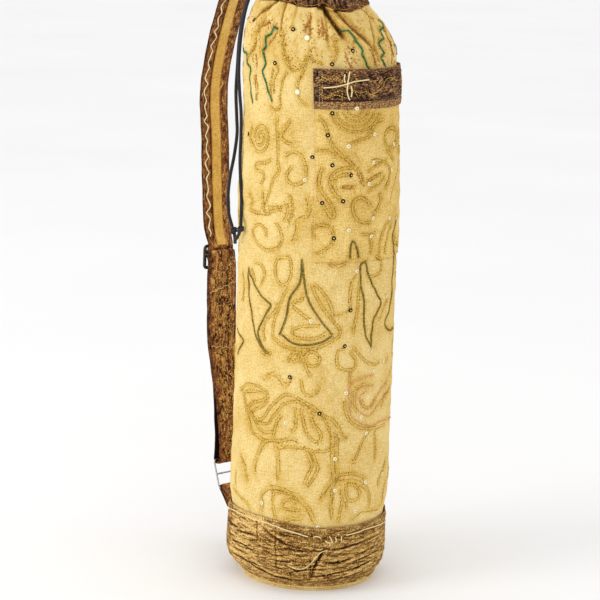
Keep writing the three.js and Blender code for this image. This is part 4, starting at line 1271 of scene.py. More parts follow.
def pressed_by(lines):
    """A look-up of the stitched lines on the flattened cloth, with copies past both ends of the round."""
    rows = np.vstack([cloth_line(line, THREAD_PITCH) for line in lines])
    flat = unrolled(rows[:, 0] % 360, rows[:, 1])
    whole = math.radians(360) * CLOTH_RADIUS
    copies = np.vstack([flat, flat + [whole, 0], flat - [whole, 0]])
    found = kdtree.KDTree(len(copies))
    for i, (x, y) in enumerate(copies):
        found.insert((x, y, 0), i)
    found.balance()
    return found


def press_marks(angle, z):
    """Distance to the nearest stitched line, turned into the cloth's rise or fall and a painted shade from 0
    to 1.
    """
    flat = unrolled(angle, z).reshape(-1, 2)
    gaps = np.array([stitched.find((x, y, 0))[2] for x, y in flat]).reshape(np.shape(angle))
    rise = PUFF_HEIGHT * bell(gaps - PUFF_AWAY, PUFF_WIDTH) - PRESS_DEPTH * bell(gaps, PRESS_WIDTH)
    return rise, bell(gaps, PRESS_SHADE)


def make_body():
    angles = np.linspace(0, 360, BODY_COLUMNS, endpoint=False)
    low = np.linspace(FOOT_Z, SHOULDER_Z, BODY_ROWS, endpoint=False)
    angle, z = np.meshgrid(angles, np.concatenate([low, np.linspace(SHOULDER_Z, SEAM_Z, SHOULDER_ROWS)]))
    # marks is a painted shade along the stitched lines
    rise, marks = press_marks(angle, z)
    radius = body_radius(angle, z)
    high = z[:, 0] > PUCKERED_FROM
    crease, swell = np.zeros(z.shape), np.zeros(z.shape)
    crease[high], swell[high] = crumpled(at_radius(angle, z, radius)[high], *BODY_CRUMPLE)
    ease = smoothstep(z, PUCKERED_FROM, 572) * (1 - smoothstep(z, 600, SEAM_Z))
    sunk = ease * (0.5 * swell - 0.7 * crease - 0.4)
    outer = at_radius(angle, z, radius + rise * smoothstep(z, CALM_FROM, CALM_TO) + sunk)
    low = np.linspace(FOOT_Z, SHOULDER_Z, INSIDE_ROWS)
    heights = np.concatenate([low, np.linspace(SHOULDER_Z + 10, SEAM_Z, INSIDE_SHOULDER_ROWS)])
    back_angle, back_z = np.meshgrid(angles, heights)
    inner = at_radius(back_angle, back_z, body_radius(back_angle, back_z) - BODY_WALL)
    # Painted shade in the shoulder's drawn folds, the gathers and the crumpled creases.
    gathers = np.clip(gather_depth(angle, SEAM_Z - z) / 12 - 0.2, 0, 0.5)
    folds = np.clip(fold_depth(angle, z) / 3.0, 0, 1) + gathers + 0.35 * ease * crease
    flat = (2 * math.pi * CLOTH_RADIUS, 560)
    made = slab("tube_cloth", outer, inner, True, flat, {"stitch_shade": marks, "fold_shading": folds})
    return finish_piece(made, body_cotton, ["body_tube"])


def casing_point(angle, along, out, inward):
    """along runs from the seam to the crest, out is off the middle layer, inward follows the gathers."""
    up, side = math.sqrt(0.5) * (along + out), math.sqrt(0.5) * (out - along)
    shift = SEAM_SHIFT + CASING_SHIFT * along / CASING_LENGTH
    radius, turn = SEAM_RADIUS + side - inward, math.radians(angle)
    rise = float(seam_rise(angle)) * (1 - 0.6 * along / CASING_LENGTH)
    height = SEAM_Z + up - SEAM_TILT * math.cos(turn) + rise
    return (shift + radius * math.cos(turn), radius * math.sin(turn), height)


def casing_loops(angle):
    pull = float(gather_depth(np.array(angle), 0.0))
    crest_pull = CREST_GATHER * pull
    pinch = float(valley(np.array(angle)))
    fine = 0.45 * math.sin(angle * 0.9) * math.sin(angle * 0.37 + 1)
    outward = CHANNEL_HALF + CASING_RIDGE * (1 - pinch) + fine
    inward = CHANNEL_HALF + CASING_RIDGE * pinch
    low_pull = pull * (1 - CHANNEL_FROM / CASING_LOW)
    high_pull = crest_pull * ((CHANNEL_TO - CASING_HIGH) / (CASING_CREST - CASING_HIGH))
    swell = 0.5 * outward + 0.6
    skin = [
        (0.2, 0.5, pull), (5.5, 0.4 * outward + CASING_WALL, 0.5 * pull),
        (CASING_LOW, outward + CASING_WALL, 0),
        (0.5 * (CASING_LOW + CASING_HIGH), outward + CASING_WALL + 0.3, 0),
        (CASING_HIGH, outward + CASING_WALL, 0), (32.5, swell + CASING_WALL, 0.5 * crest_pull),
        (CASING_CREST - 0.4, CREST_HALF, crest_pull), (CASING_CREST, 0.6 * CREST_HALF, crest_pull),
        (CASING_CREST, -0.6 * CREST_HALF, crest_pull), (CASING_CREST - 0.4, -CREST_HALF, crest_pull),
        (32.5, -0.5 * inward - 1.6, 0.5 * crest_pull), (CASING_HIGH, -inward - CASING_WALL, 0),
        (CASING_LOW, -inward - CASING_WALL, 0), (6.5, -0.45 * inward - 1.8, 0.5 * pull), (1.9, -1.2, pull),
    ]
    channel = [
        (CHANNEL_FROM, CHANNEL_END, low_pull), (CASING_LOW, outward - 0.2, 0),
        (CASING_HIGH, outward - 0.2, 0), (CHANNEL_TO, CHANNEL_END, high_pull),
        (CHANNEL_TO, -CHANNEL_END, high_pull), (CASING_HIGH, -inward + 0.2, 0),
        (CASING_LOW, -inward + 0.2, 0), (CHANNEL_FROM, -CHANNEL_END, low_pull),
    ]
    return [[casing_point(angle, *row) for row in rows] for rows in (skin, channel)]


def make_casing():
    sweep = 360 - 2 * GAP_HALF
    angles = GAP_ANGLE + GAP_HALF + sweep * np.linspace(0, 1, CASING_STATIONS)
    loops = [casing_loops(a) for a in angles]
    skin = np.array([pair[0] for pair in loops])
    channel = np.array([pair[1] for pair in loops])
    around = np.degrees(np.arctan2(skin[..., 1], skin[..., 0]))
    crease, swell = crumpled(skin, *CASING_CRUMPLE)
    outward = np.stack([np.cos(np.radians(around)), np.sin(np.radians(around)), 0.6 + 0 * around], axis=-1)
    show = np.array([0.2, 0.8, 1, 1, 1, 0.9, 0.3, 0, 0, 0, 0, 0, 0, 0, 0])
    skin = skin + outward * ((0.5 * swell - 0.9 * crease) * show)[..., None]
    count, side, hole = len(angles), skin.shape[1], channel.shape[1]
    points = np.concatenate([skin.reshape(-1, 3), channel.reshape(-1, 3)])
    start = count * side
    faces, uv = [], []
    step = 2 * math.pi * CASING_FLAT_RADIUS / count
    for i in range(count - 1):
        left, right = i * step, (i + 1) * step
        for k in range(side):
            n = (k + 1) % side
            faces.append((i * side + k, i * side + n, (i + 1) * side + n, (i + 1) * side + k))
            low, high = k * SKIN_STEP, (k + 1) * SKIN_STEP
            uv += [(left, low), (left, high), (right, high), (right, low)]
        here, beyond = start + i * hole, start + (i + 1) * hole
        for k in range(hole):
            n = (k + 1) % hole
            faces.append((here + n, here + k, beyond + k, beyond + n))
            uv += [(left, n), (left, k), (right, k), (right, n)]
    # The two ends are closed between the skin's fifteen points and the channel's eight.
    pairs = [0, 0, 1, 1, 2, 2, 3, 3, 4, 4, 5, 5, 6, 7, 7]
    for i in (0, count - 1):
        for k in range(side):
            n = (k + 1) % side
            a, b = pairs[k], pairs[n]
            corners = [i * side + k, i * side + n, start + i * hole + b]
            if a != b:
                corners.append(start + i * hole + a)
            faces.append(tuple(corners))
            uv += [(0, k)] * len(corners)
    # The fold mark paints shade into the casing's creases.
    marks = {"fold_shading": np.concatenate([crease.ravel(), np.zeros(count * hole)]),
             "swell": np.concatenate([swell.ravel(), np.zeros(count * hole)])}
    made = mesh_object("casing_cloth", points, faces, np.array(uv) * MM, marks)
    return finish_piece(made, trim_patchwork, ["mouth_casing"])


def lathe(profile, columns, bumps):
    """A closed shape turned about the upright axis, from a profile that starts and ends on the axis."""
    turns = np.linspace(0, 2 * math.pi, columns, endpoint=False)
    rows = []
    for radius, z in profile[1:-1]:
        height = z + bumps(turns, radius, z)
        rows.append(np.stack([radius * np.cos(turns), radius * np.sin(turns), height], axis=1))
    points = np.vstack(rows + [[[0, 0, profile[0][1]]], [[0, 0, profile[-1][1]]]])
    faces = capped_faces(len(rows), columns)
    return points, faces, [points[k][:2] * MM for face in faces for k in face]


def make_base():
    rim = [(RIM_RADIUS - RIM_HALF + RIM_HALF * math.cos(a), RIM_HALF + RIM_HALF * math.sin(a))
           for a in np.linspace(-math.pi / 2, math.pi / 2, 9)]
    flat = [(r, 0.0) for r in (12, 30, 45, 56, 64)]
    inside = [(FLAT_RADIUS, DISC_THICKNESS), (50, DISC_THICKNESS), (28, DISC_THICKNESS)]
    profile = [(0, 0.0)] + flat + rim + inside + [(0, DISC_THICKNESS)]

    def bumps(turns, radius, z):
        if z < 0.01:
            return 0.16 + 0.16 * np.sin(9 * turns + radius * 0.15) * np.sin(radius * 0.22)
        return 0.12 * np.sin(23 * turns + radius)

    points, faces, uv = lathe(profile, 120, bumps)
    disc = mesh_object("base_cloth", points + [BASE_SHIFT, 0, 0], faces, uv)
    finish_piece(disc, body_cotton, ["base_disc"])
    turns = np.linspace(0, 2 * math.pi, 241)
    ring = np.stack([BASE_SHIFT + WELT_RING * np.cos(turns), WELT_RING * np.sin(turns),
                     WELT_Z + 0.15 * np.sin(17 * turns)], axis=1)
    points, faces = tube_parts(ring, WELT_RADIUS, 12, lambda run, turn: 0.1 * np.sin(turn + run * 1.1))
    welt = mesh_object("base_welt", points, faces)
    layer = welt.data.uv_layers.new(name="cloth")
    for loop in welt.data.loops:
        place = welt.data.vertices[loop.vertex_index].co
        layer.data[loop.index].uv = (math.atan2(place.y, place.x) * WELT_FLAT_RADIUS, place.z)
    finish_piece(welt, body_cotton, ["base_piping"])
    return disc, welt


def make_band():
    angles = np.linspace(0, 360, BAND_COLUMNS, endpoint=False)
    low = np.linspace(BAND_FOOT, BAND_BEND, BEND_ROWS, endpoint=False)
    angle, z = np.meshgrid(angles, np.concatenate([low, np.linspace(BAND_BEND, BAND_TOP, BAND_ROWS)]))
    radius = band_radius(z)
    crease, swell = crumpled(at_radius(angle, z, radius), *BAND_CRUMPLE)
    drawn = fold_depth(angle, z, band_creases)
    ease = smoothstep(z, 8, 14) * (1 - smoothstep(z, 67, 71))
    groove = -0.5 * bell(z - 70.5, 1.0)
    rise = np.interp(angle, *np.array(BAND_RISES).T) * smoothstep(z, 40, BAND_TOP)
    outer = at_radius(angle, z, radius + ease * (0.4 * swell - 0.7 * crease - 0.7 * drawn + 0.5) + groove)
    outer[..., 2] += rise
    thick = (BAND_WALL - BAND_EDGE) * smoothstep(z, 9, 16) * (1 - smoothstep(z, 62, 69))
    inner = at_radius(angle, z, radius - BAND_EDGE - thick)
    inner[..., 2] += rise
    knots = []
    for (start, shade), (end, _) in zip(BAND_PATCHES, BAND_PATCHES[1:] + [(360 + PATCH_SEAM, 0)]):
        knots += [(start, shade), (end - PATCH_SEAM, shade)]
    tint = np.interp(angle, *np.array(knots).T)
    # The fold mark paints shade into the creases and, where it falls below zero, a painted highlight on the
    # puff beside each drawn crease.
    marks = {"fold_shading": ease * np.clip(0.45 * crease + 0.8 * drawn, -0.3, 1.1), "swell": swell + tint}
    made = slab("band_cloth", outer, inner[::9], True, BAND_FLAT, marks)
    return finish_piece(made, brown_patchwork, ["base_band"])


def make_pocket():
    angles = np.linspace(POCKET_FROM, POCKET_TO, POCKET_GRID[0])
    angle, z = np.meshgrid(angles, np.linspace(POCKET_BOTTOM, POCKET_TOP, POCKET_GRID[1]))
    foot = body_radius(angle, z) + pocket_off(angle, z)
    # marks is a painted shade along the stitched lines
    rise, marks = press_marks(angle, z)
    outer = at_radius(angle, z, foot + POCKET_WALL + rise)
    made = slab("pocket_cloth", outer, at_radius(angle, z, foot), False, POCKET_FLAT, {"stitch_shade": marks})
    return finish_piece(made, pocket_cotton, ["pocket"])


def make_trim():
    left, right = POCKET_FROM - TRIM_OVERHANG, POCKET_TO + TRIM_OVERHANG
    angles = np.linspace(left, right, TRIM_GRID[0])
    angle, z = np.meshgrid(angles, np.linspace(TRIM_BOTTOM, TRIM_TOP, TRIM_GRID[1]))
    foot = body_radius(angle, z) + pocket_off(angle, np.minimum(z, POCKET_TOP)) + POCKET_WALL + TRIM_GAP
    plain = at_radius(angle, z, foot + TRIM_WALL)
    crease, swell = crumpled(plain, *TRIM_CRUMPLE)
    ease = smoothstep(z, TRIM_BOTTOM + 8, TRIM_BOTTOM + 10) * (1 - smoothstep(z, TRIM_TOP - 4, TRIM_TOP - 1))
    groove = -0.6 * bell(z - TRIM_BOTTOM - TRIM_HEM, 0.7)
    outer = at_radius(angle, z, foot + TRIM_WALL + ease * (0.5 * swell - 1.0 * crease + 0.4) + groove)
    # The fold mark paints shade into the creases and into the groove of the hem; the strip below the hem is
    # lighter in its own colour.
    marks = {"fold_shading": np.maximum(crease * ease, 0.8 * bell(z - TRIM_BOTTOM - TRIM_HEM, 0.6)),
             "swell": swell * ease + 0.9 * (1 - smoothstep(z, TRIM_BOTTOM + 7, TRIM_BOTTOM + TRIM_HEM))}
    made = slab("trim_cloth", outer, at_radius(angle, z, foot), False, TRIM_FLAT, marks)
    return finish_piece(made, trim_patchwork, ["pocket_trim"])


# Strap

def in_strap_plane(reach, z, side):
    """A point of the strap's plane: reach from the axis, height, and side across the strap's width."""
    along = np.array([math.cos(STRAP_ANGLE), math.sin(STRAP_ANGLE)])
    across = np.array([math.sin(STRAP_ANGLE), -math.cos(STRAP_ANGLE)])
    x, y = [reach * along[k] + side * across[k] for k in (0, 1)]
    return np.stack([x, y, z + 0 * side], axis=-1)


def arc_around(middle, radius, start, end, count):
    turns = np.radians(np.linspace(start, end, count))
    return np.stack([middle[0] + radius * np.cos(turns), middle[1] + radius * np.sin(turns)], axis=1)


def loop_radius(bar):
    return bar + STRAP_GAP + STRAP_THICKNESS / 2


def strap_path():
    hook, turn = loop_radius(SLIDER_BAR), loop_radius(RING_WIRE)
    past, behind = 2 * hook - STRAP_GAP / 2, SLIDER_STEP - hook
    slider = [
        (SLIDER_REACH + behind, SLIDER_Z + SLIDER_HALF_HEIGHT),
        (SLIDER_REACH + past, SLIDER_Z),
        (SLIDER_REACH + behind, SLIDER_Z - SLIDER_HALF_HEIGHT),
    ]
    outer = [STRAP_DOWN[-1]] + slider + [(r + DOUBLED_SPREAD, z) for r, z in STRAP_DOUBLED]
    bend = (RING_TOP[0] + turn - LOOP_RADIUS, LOOP_Z)
    outer.append((bend[0] + LOOP_RADIUS, LOOP_Z))
    inner = [(bend[0] - LOOP_RADIUS, LOOP_Z)]
    front = [(r - DOUBLED_SPREAD - slack, z) for (r, z), slack in zip(STRAP_DOUBLED, FRONT_SLACK)]
    inner += front[::-1] + [(SLIDER_REACH - hook, SLIDER_Z)]
    down = catmull(STRAP_DOWN, 10)
    whole = [down, catmull(outer, 12)[1:], arc_around(bend, LOOP_RADIUS, 0, -180, 14)[1:-1],
             catmull(inner, 12), arc_around((SLIDER_REACH, SLIDER_Z), hook, 180, -45, 16)[1:]]
    return down, np.vstack(whole)


def side_of(path):
    along = unit(np.gradient(path, axis=0))
    return np.stack([-along[:, 1], along[:, 0]], axis=1)


def ribbon(name, path, width, thickness, columns, rough, seed, shading=None, pinches=()):
    """A band of cloth along a path in the strap's plane, thinner at its edges and crinkled by rough. shading
    darkens the face that its path leaves on the right, from the run along it and the share across it, and
    pinches are the runs where it is drawn narrower."""
    line = even(path, RIBBON_PITCH)
    out = side_of(line)
    run = np.arange(len(line)) * RIBBON_PITCH
    across = np.linspace(-1, 1, columns)
    wobble = 1 + 0.012 * np.sin(run * 0.09 + seed) + 0.008 * np.sin(run * 0.23)
    for pinch in pinches:
        wobble = wobble - PINCH * bell(run - pinch, PINCH_REACH)
    side = across[None, :] * width / 2 * wobble[:, None]
    thin = np.sqrt(np.clip(1 - 0.75 * np.abs(across) ** 8, 0, 1))
    place = np.stack(np.broadcast_arrays(side, run[:, None], 0 * side + seed), axis=-1)[..., [2, 0, 1]]
    crease, swell = crumpled(place, *RIBBON_CRUMPLE, seed)
    relief = rough * (0.4 * swell - crease + 0.3)
    layers = []
    for sign in (1, -1):
        off = sign * (thickness / 2 * thin[None, :] + relief * thin[None, :])
        reach = line[:, 0:1] + out[:, 0:1] * off
        height = line[:, 1:2] + out[:, 1:2] * off
        layers.append(in_strap_plane(reach, height, side))
    crease = crease * min(1, rough / 0.4)
    # Painted shade along both edges of the band.
    shade = 0.6 * smoothstep(np.abs(across), 0.88, 1.0)[None, :]
    marks = {"fold_shading": np.maximum(crease, shade), "swell": swell}
    if shading:
        shade = shade + shading(run[:, None], across[None, :])
    under = {"fold_shading": np.maximum(0.6 * crease, shade), "swell": swell}
    return slab(name, layers[0], layers[1], False, (width, RIBBON_PITCH * len(line)), marks, under)


def make_strap():
    down, whole = strap_path()
    hanging, lowest = line_length(down), line_length(whole[:np.argmin(whole[:, 1])])

    def shading(run, across):
        # Painted shade: a dark band under the wavy thread, a dark line beside the stripe and a darker right
        # edge, and on the doubled part a painted shadow on the back layer's face that faces the front layer.
        wave = 0.24 * bell(across + 2 * WAVE_SIDE / STRAP_WIDTH, 0.14) + 0.35 * bell(across + 0.36, 0.05)
        right = 0.1 * smoothstep(across, 0.5, 0.9)
        behind = smoothstep(run, lowest - 90, lowest - 40) * (run < lowest + 2)
        return np.where(run < hanging, wave + right, 1.2 * behind)

    pinches = [hanging + 19, line_length(whole) - 6]
    strap = ribbon("strap_webbing", whole, STRAP_WIDTH, STRAP_THICKNESS, *STRAP_RIBBON, shading, pinches)
    finish_piece(strap, strap_cloth, ["strap"])
    part = whole[int(STRIPE_FROM * len(down)):len(down) + STRIPE_PAST]
    off = -(STRAP_THICKNESS + STRIPE_THICKNESS) / 2 - STRAP_GAP
    part = part + side_of(part) * off
    stripe = ribbon("strap_stripe_cloth", part, STRIPE_WIDTH, STRIPE_THICKNESS, *STRIPE_RIBBON)
    finish_piece(stripe, stripe_cotton, ["strap_stripe"])
    turn = loop_radius(RING_WIRE)
    last = TAB_OUTER[-1]
    lean = math.degrees(math.atan2(RING_BOTTOM[1] - last[1], RING_BOTTOM[0] - last[0]))
    arc = arc_around(RING_BOTTOM, turn, lean - 90, lean + 90, 14)
    path = np.vstack([catmull(TAB_OUTER + [tuple(arc[0])], 10), arc[1:-1],
                      catmull([tuple(arc[-1])] + TAB_INNER[::-1], 10)])
    tab = ribbon("tab_webbing", path, STRAP_WIDTH, STRAP_THICKNESS, *TAB_RIBBON)
    finish_piece(tab, strap_cloth, ["strap_tab"])
    return down, whole, strap, stripe, tab


def bent_wire(name, low, high, half_width, wire, bow, bar_share=0.5):
    """A wire frame with a middle bar, modelled from a plane cut across, rounded at its corners and given
    a round section. low and high are its ends in the strap's plane, bar_share is the middle bar's place
    between them, and bow pulls that bar in."""
    bpy.ops.object.select_all(action="DESELECT")
    bpy.ops.mesh.primitive_plane_add(size=1)
    piece = bpy.context.object
    piece.name = name
    centre = (np.array(low) + np.array(high)) / 2
    middle, top = [Vector(in_strap_plane(*place, np.array(0.0)) * MM) for place in (centre, high)]
    across = Vector((math.sin(STRAP_ANGLE), -math.cos(STRAP_ANGLE), 0))
    up = (top - middle).normalized()
    height = 2 * (top - middle).length
    turn = Matrix((across, up, across.cross(up))).transposed().to_4x4()
    stretch = Matrix.Diagonal((2 * half_width * MM, height, 1, 1))
    piece.matrix_world = Matrix.Translation(middle) @ turn @ stretch
    bpy.ops.object.transform_apply(location=True, rotation=True, scale=True)
    bpy.ops.object.mode_set(mode="EDIT")
    bpy.ops.mesh.select_all(action="SELECT")
    cut = middle + up * (bar_share - 0.5) * height
    bpy.ops.mesh.bisect(plane_co=cut, plane_no=up)
    bpy.ops.object.mode_set(mode="OBJECT")
    near = [abs((v.co - cut).dot(up)) < 1e-5 for v in piece.data.vertices]
    select_vertices(piece, near)
    inward = Vector((-math.cos(STRAP_ANGLE), -math.sin(STRAP_ANGLE), 0)) * bow * MM
    if bow:
        for edge in piece.data.edges:
            edge.select = all(near[k] for k in edge.vertices)
        bpy.ops.object.mode_set(mode="EDIT")
        bpy.ops.mesh.select_mode(type="EDGE")
        bpy.ops.mesh.subdivide(number_cuts=2)
        bpy.ops.mesh.select_mode(type="VERT")
        bpy.ops.object.mode_set(mode="OBJECT")
        offsets = [(v.co - middle).dot(across) for v in piece.data.vertices]
        for sign in (1, -1):
            inner = [abs(sign * off - half_width * MM / 3) < 1e-5 for off in offsets]
            select_vertices(piece, inner)
            bpy.ops.object.mode_set(mode="EDIT")
            bpy.ops.transform.translate(value=inward + across * sign * (half_width * (2 / 3) - BAR_END) * MM)
            bpy.ops.object.mode_set(mode="OBJECT")
    ends = [abs((v.co - middle).dot(up)) > height / 3 for v in piece.data.vertices]
    select_vertices(piece, ends)
    bpy.ops.object.mode_set(mode="EDIT")
    bpy.ops.mesh.bevel(offset=WIRE_CORNER * MM, segments=5, affect="VERTICES")
    bpy.ops.mesh.select_all(action="SELECT")
    bpy.ops.mesh.delete(type="ONLY_FACE")
    bpy.ops.object.mode_set(mode="OBJECT")
    bpy.ops.object.convert(target="CURVE")
    piece = bpy.context.object
    piece.data.bevel_depth = wire * MM
    piece.data.bevel_resolution = 4
    piece.data.use_fill_caps = True
    bpy.ops.object.convert(target="MESH")
    piece = bpy.context.object
    bpy.ops.object.shade_smooth()
    return piece


def select_vertices(piece, wanted):
    for edge in piece.data.edges:
        edge.select = False
    for face in piece.data.polygons:
        face.select = False
    for vertex, is_wanted in zip(piece.data.vertices, wanted):
        vertex.select = bool(is_wanted)


def make_hardware():
    step = SLIDER_STEP + FRAME_OUT
    front = SLIDER_REACH + step
    slider = bent_wire("slider_metal", (front, SLIDER_Z - FRAME_FOOT), (front, SLIDER_Z + FRAME_TOP),
                       FRAME_HALF_WIDTH, FRAME_BAR, step, FRAME_FOOT / (FRAME_FOOT + FRAME_TOP))
    finish_piece(slider, dark_metal, ["strap_slider"])
    ring = bent_wire("ring_wire", RING_BOTTOM, RING_TOP, RING_HALF_WIDTH, RING_WIRE, 0.0)
    finish_piece(ring, steel_wire, ["strap_ring"])
    return slider, ring


# Stitches

BEAD_POINTS = np.array([(-0.5, 0, 0), (0, 1, 0), (0, 0, 1), (0, -1, 0), (0, 0, -1), (0.5, 0, 0)])
BEAD_FACES = [(0, 1 + k, 1 + (k + 1) % 4) for k in range(4)] + [(5, 1 + (k + 1) % 4, 1 + k) for k in range(4)]


def beads(middles, along, outward, size, tones):
    """One small spindle for each middle: length, width and height, laid along the cloth."""
    along = unit(along - outward * np.sum(along * outward, axis=1, keepdims=True))
    side = np.cross(outward, along)
    length, width, height = size
    local = BEAD_POINTS * np.array([length, width / 2, height / 2])
    points = (middles[:, None, :] + local[None, :, 0:1] * along[:, None, :]
              + local[None, :, 1:2] * side[:, None, :] + local[None, :, 2:3] * outward[:, None, :])
    count = len(BEAD_POINTS)
    faces = [tuple(k + count * i for k in face) for i in range(len(middles)) for face in BEAD_FACES]
    return points.reshape(-1, 3), faces, np.repeat(tones, count)


def cloth_line(rows, pitch, smooth=True):
    """Angles and heights along a stroke, about one pitch apart on the cloth."""
    around = np.array(rows, dtype=float)
    around[:, 0] = np.degrees(np.unwrap(np.radians(around[:, 0])))
    flat = around * np.array([math.radians(1) * CLOTH_RADIUS, 1])
    line = even(catmull(flat, 10) if smooth and len(flat) > 2 else flat, pitch)
    return line / np.array([math.radians(1) * CLOTH_RADIUS, 1])


def stroke_frame(rows, pitch, smooth=True):
    """Points along a stroke on the cloth, with the ways outward, along and across it."""
    line = cloth_line(rows, pitch, smooth)
    middle, outward = surface_frame(line[:, 0], line[:, 1])
    along = unit(np.gradient(middle, axis=0))
    return middle, outward, along, np.cross(outward, along)


def shades(middle, spread, count):
    """Tones of single stitches, from 0 to 1."""
    return np.clip(random.normal(middle, spread, count), 0, 1)


def chain_row(rows, smooth=True):
    """A row of chain stitch: two spindles to a link, set in a narrow V."""
    middle, outward, along, side = stroke_frame(rows, CHAIN_PITCH, smooth)
    parts = []
    for sign in (1, -1):
        shaken = random.normal(0, 0.08, (len(middle), 1))
        places = middle + side * (sign * CHAIN_SPREAD + shaken)
        heading = along + side * sign * math.tan(math.radians(CHAIN_TURN))
        tones = shades(0.5 + 0.08 * sign, 0.2, len(middle))
        parts.append(beads(places, heading, outward, CHAIN_SIZE, tones))
    return parts


def couched_row(rows, spread):
    """Four rows of small stitches side by side: bright ones in the middle, a painted highlight, and darker
    ones at both edges, a painted shade.
    """
    middle, outward, along, side = stroke_frame(rows, COUCHED_PITCH)
    count = len(middle)
    parts = []
    for number, (share, tone) in enumerate(COUCHED_ROWS):
        slid = along * random.normal(0.4 * share, 0.3, (count, 1))
        slid = slid + side * (spread * share + random.normal(0, 0.17, (count, 1)))
        heading = along + side * random.normal(0, 0.45, (count, 1))
        turns = np.where((np.arange(count) + number) % 2 == 0, 1, -1)
        tones = np.clip(random.normal(tone, 0.16, count) + COUCHED_SWING * turns, 0, 1)
        parts.append(beads(middle - outward * 0.1 + slid, heading, outward, COUCHED_DOT, tones))
    return parts


def running_row(rows, stitch, gap, width, smooth=True, lift=0.1):
    """A row of plain running stitch."""
    middle, outward, along, _ = stroke_frame(rows, stitch + gap, smooth)
    tones = shades(0.6, 0.18, len(middle))
    return [beads(middle + outward * lift, along, outward, (stitch, width, width), tones)]


def seed_stitches(clusters):
    """Short loose stitches in clusters, laid every way, on the front and the back."""
    parts = []
    for (x, y), (wide, tall), count in clusters:
        rows = laid_on_cloth(np.stack([random.normal(x, wide, count), random.normal(y, tall, count)], axis=1))
        rows = np.vstack([rows, round_the_back(rows)])
        middle, outward = surface_frame(rows[:, 0], rows[:, 1])
        tones = shades(0.5, 0.3, len(rows))
        parts.append(beads(middle, random.normal(0, 1, middle.shape), outward, SEED_STITCH, tones))
    return parts


def thread_parts(line, radius, sides, tone):
    """A thread along a line, all of one tone."""
    points, faces = tube_parts(line, radius, sides)
    return points, faces, np.full(len(points), tone)


def laid_thread(rows, radius, lift):
    """A single thread lying on the cloth."""
    middle, outward, _, _ = stroke_frame(rows, THREAD_PITCH)
    return [thread_parts(middle + outward * lift, radius, 5, 0.62)]


def stitch_object(name, parts, material):
    points, faces = joined(parts)
    tones = np.concatenate([part[2] for part in parts])
    return finish_piece(mesh_object(name, points, faces, None, {"tone": tones}), material)


def round_the_back(rows):
    """The same stroke, repeated on the side that the photo doesn't show."""
    return np.array(rows) + np.array([BACK_TURN, 0])


def spiral_pixels():
    t = np.linspace(0.12, 1, 30)
    turn = 2 * math.pi * SPIRAL_TURNS * t
    across, up = SPIRAL_ACROSS * t * np.cos(turn), SPIRAL_UP * t * np.sin(turn)
    return np.array(SPIRAL_MIDDLE) + np.stack([across, up], axis=1)


def fan_pixels(radius):
    turns = np.linspace(math.radians(12), math.radians(168), 9)
    across, up = radius * np.cos(turns), 0.95 * radius * np.sin(turns)
    return np.array(FAN_MIDDLE) + np.stack([across, up], axis=1)


def make_embroidery():
    made = []
    for name, turned in (("gold_embroidery", lambda rows: rows), ("gold_embroidery_back", round_the_back)):
        parts = []
        for rows, spread in gold_strokes:
            parts += couched_row(turned(rows), spread)
        made.append(stitch_object(name, parts, gold_thread))
    for name, strokes, material, smooth in (
        ("green_embroidery", green_strokes, green_thread, False),
        ("olive_embroidery", olive_strokes, olive_thread, True),
    ):
        parts = []
        for rows in strokes:
            parts += chain_row(rows, smooth) + chain_row(round_the_back(rows), smooth)
        made.append(stitch_object(name, parts, material))
    parts = []
    for rows in pink_strokes:
        parts += running_row(rows, *PINK_STITCH) + running_row(round_the_back(rows), *PINK_STITCH)
    made.append(stitch_object("pink_embroidery", parts, pink_thread))
    made.append(stitch_object("gold_seed_stitches", seed_stitches(GOLD_SEEDS), gold_thread))
    return made


def make_topstitching():
    parts = []
    for line in BAND_LINES.values():
        parts += laid_thread(laid_on_cloth(line), BAND_THREAD, BAND_LIFT)
    flecks = []
    parts += running_row(BAND_BACK_ROW, *BACK_ROW_STITCH, True, BACK_ROW_LIFT)
    parts += laid_thread(laid_on_cloth(BAND_WAVE), BAND_WAVE_THREAD, BAND_LIFT)
    for name, line in TRIM_LINES.items():
        if name.startswith("cross"):
            parts += laid_thread(laid_on_cloth(line), TRIM_CROSS_THREAD, TRIM_LIFT)
        else:
            flecks += running_row(laid_on_cloth(line), *TRIM_STITCH, True, TRIM_LIFT)
    for line in TRIM_ROWS.values():
        parts += running_row(laid_on_cloth(line), *TRIM_ROW_STITCH, False, TRIM_ROW_LIFT)
    for line in BAND_FLECKS.values():
        rows = laid_on_cloth(line)
        for side in (rows, round_the_back(rows)):
            flecks += running_row(side, *FLECK_STITCH, True, BAND_LIFT)
    angles = random.uniform(0, 360, BAND_SPECKS)
    middle, outward = surface_frame(angles, random.uniform(*SPECK_HEIGHTS, BAND_SPECKS))
    along = np.cross(outward, [0, 0, 1.0]) + random.normal(0, 0.3, middle.shape)
    tones = shades(0.45, 0.3, BAND_SPECKS)
    flecks.append(beads(middle + outward * SPECK_LIFT, along, outward, SPECK_SIZE, tones))
    return [stitch_object("cream_topstitching", parts, cream_thread),
            stitch_object("band_flecks", flecks, gold_thread)]


def make_seams():
    rust, pale = [], []
    for line in RUST_LINES.values():
        rows = laid_on_cloth(line)
        rust += couched_row(rows, RUST_SPREAD) + couched_row(round_the_back(rows), RUST_SPREAD)
    for line in SEAM_LINES.values():
        pale += running_row(laid_on_cloth(line), *SEAM_STITCH)
    rust += running_row(laid_on_cloth(POCKET_FOOT_LINE), *FOOT_STITCH) + seed_stitches(RUST_SEEDS)
    return [stitch_object("rust_embroidery", rust, rust_thread),
            stitch_object("seam_stitching", pale, seam_thread)]


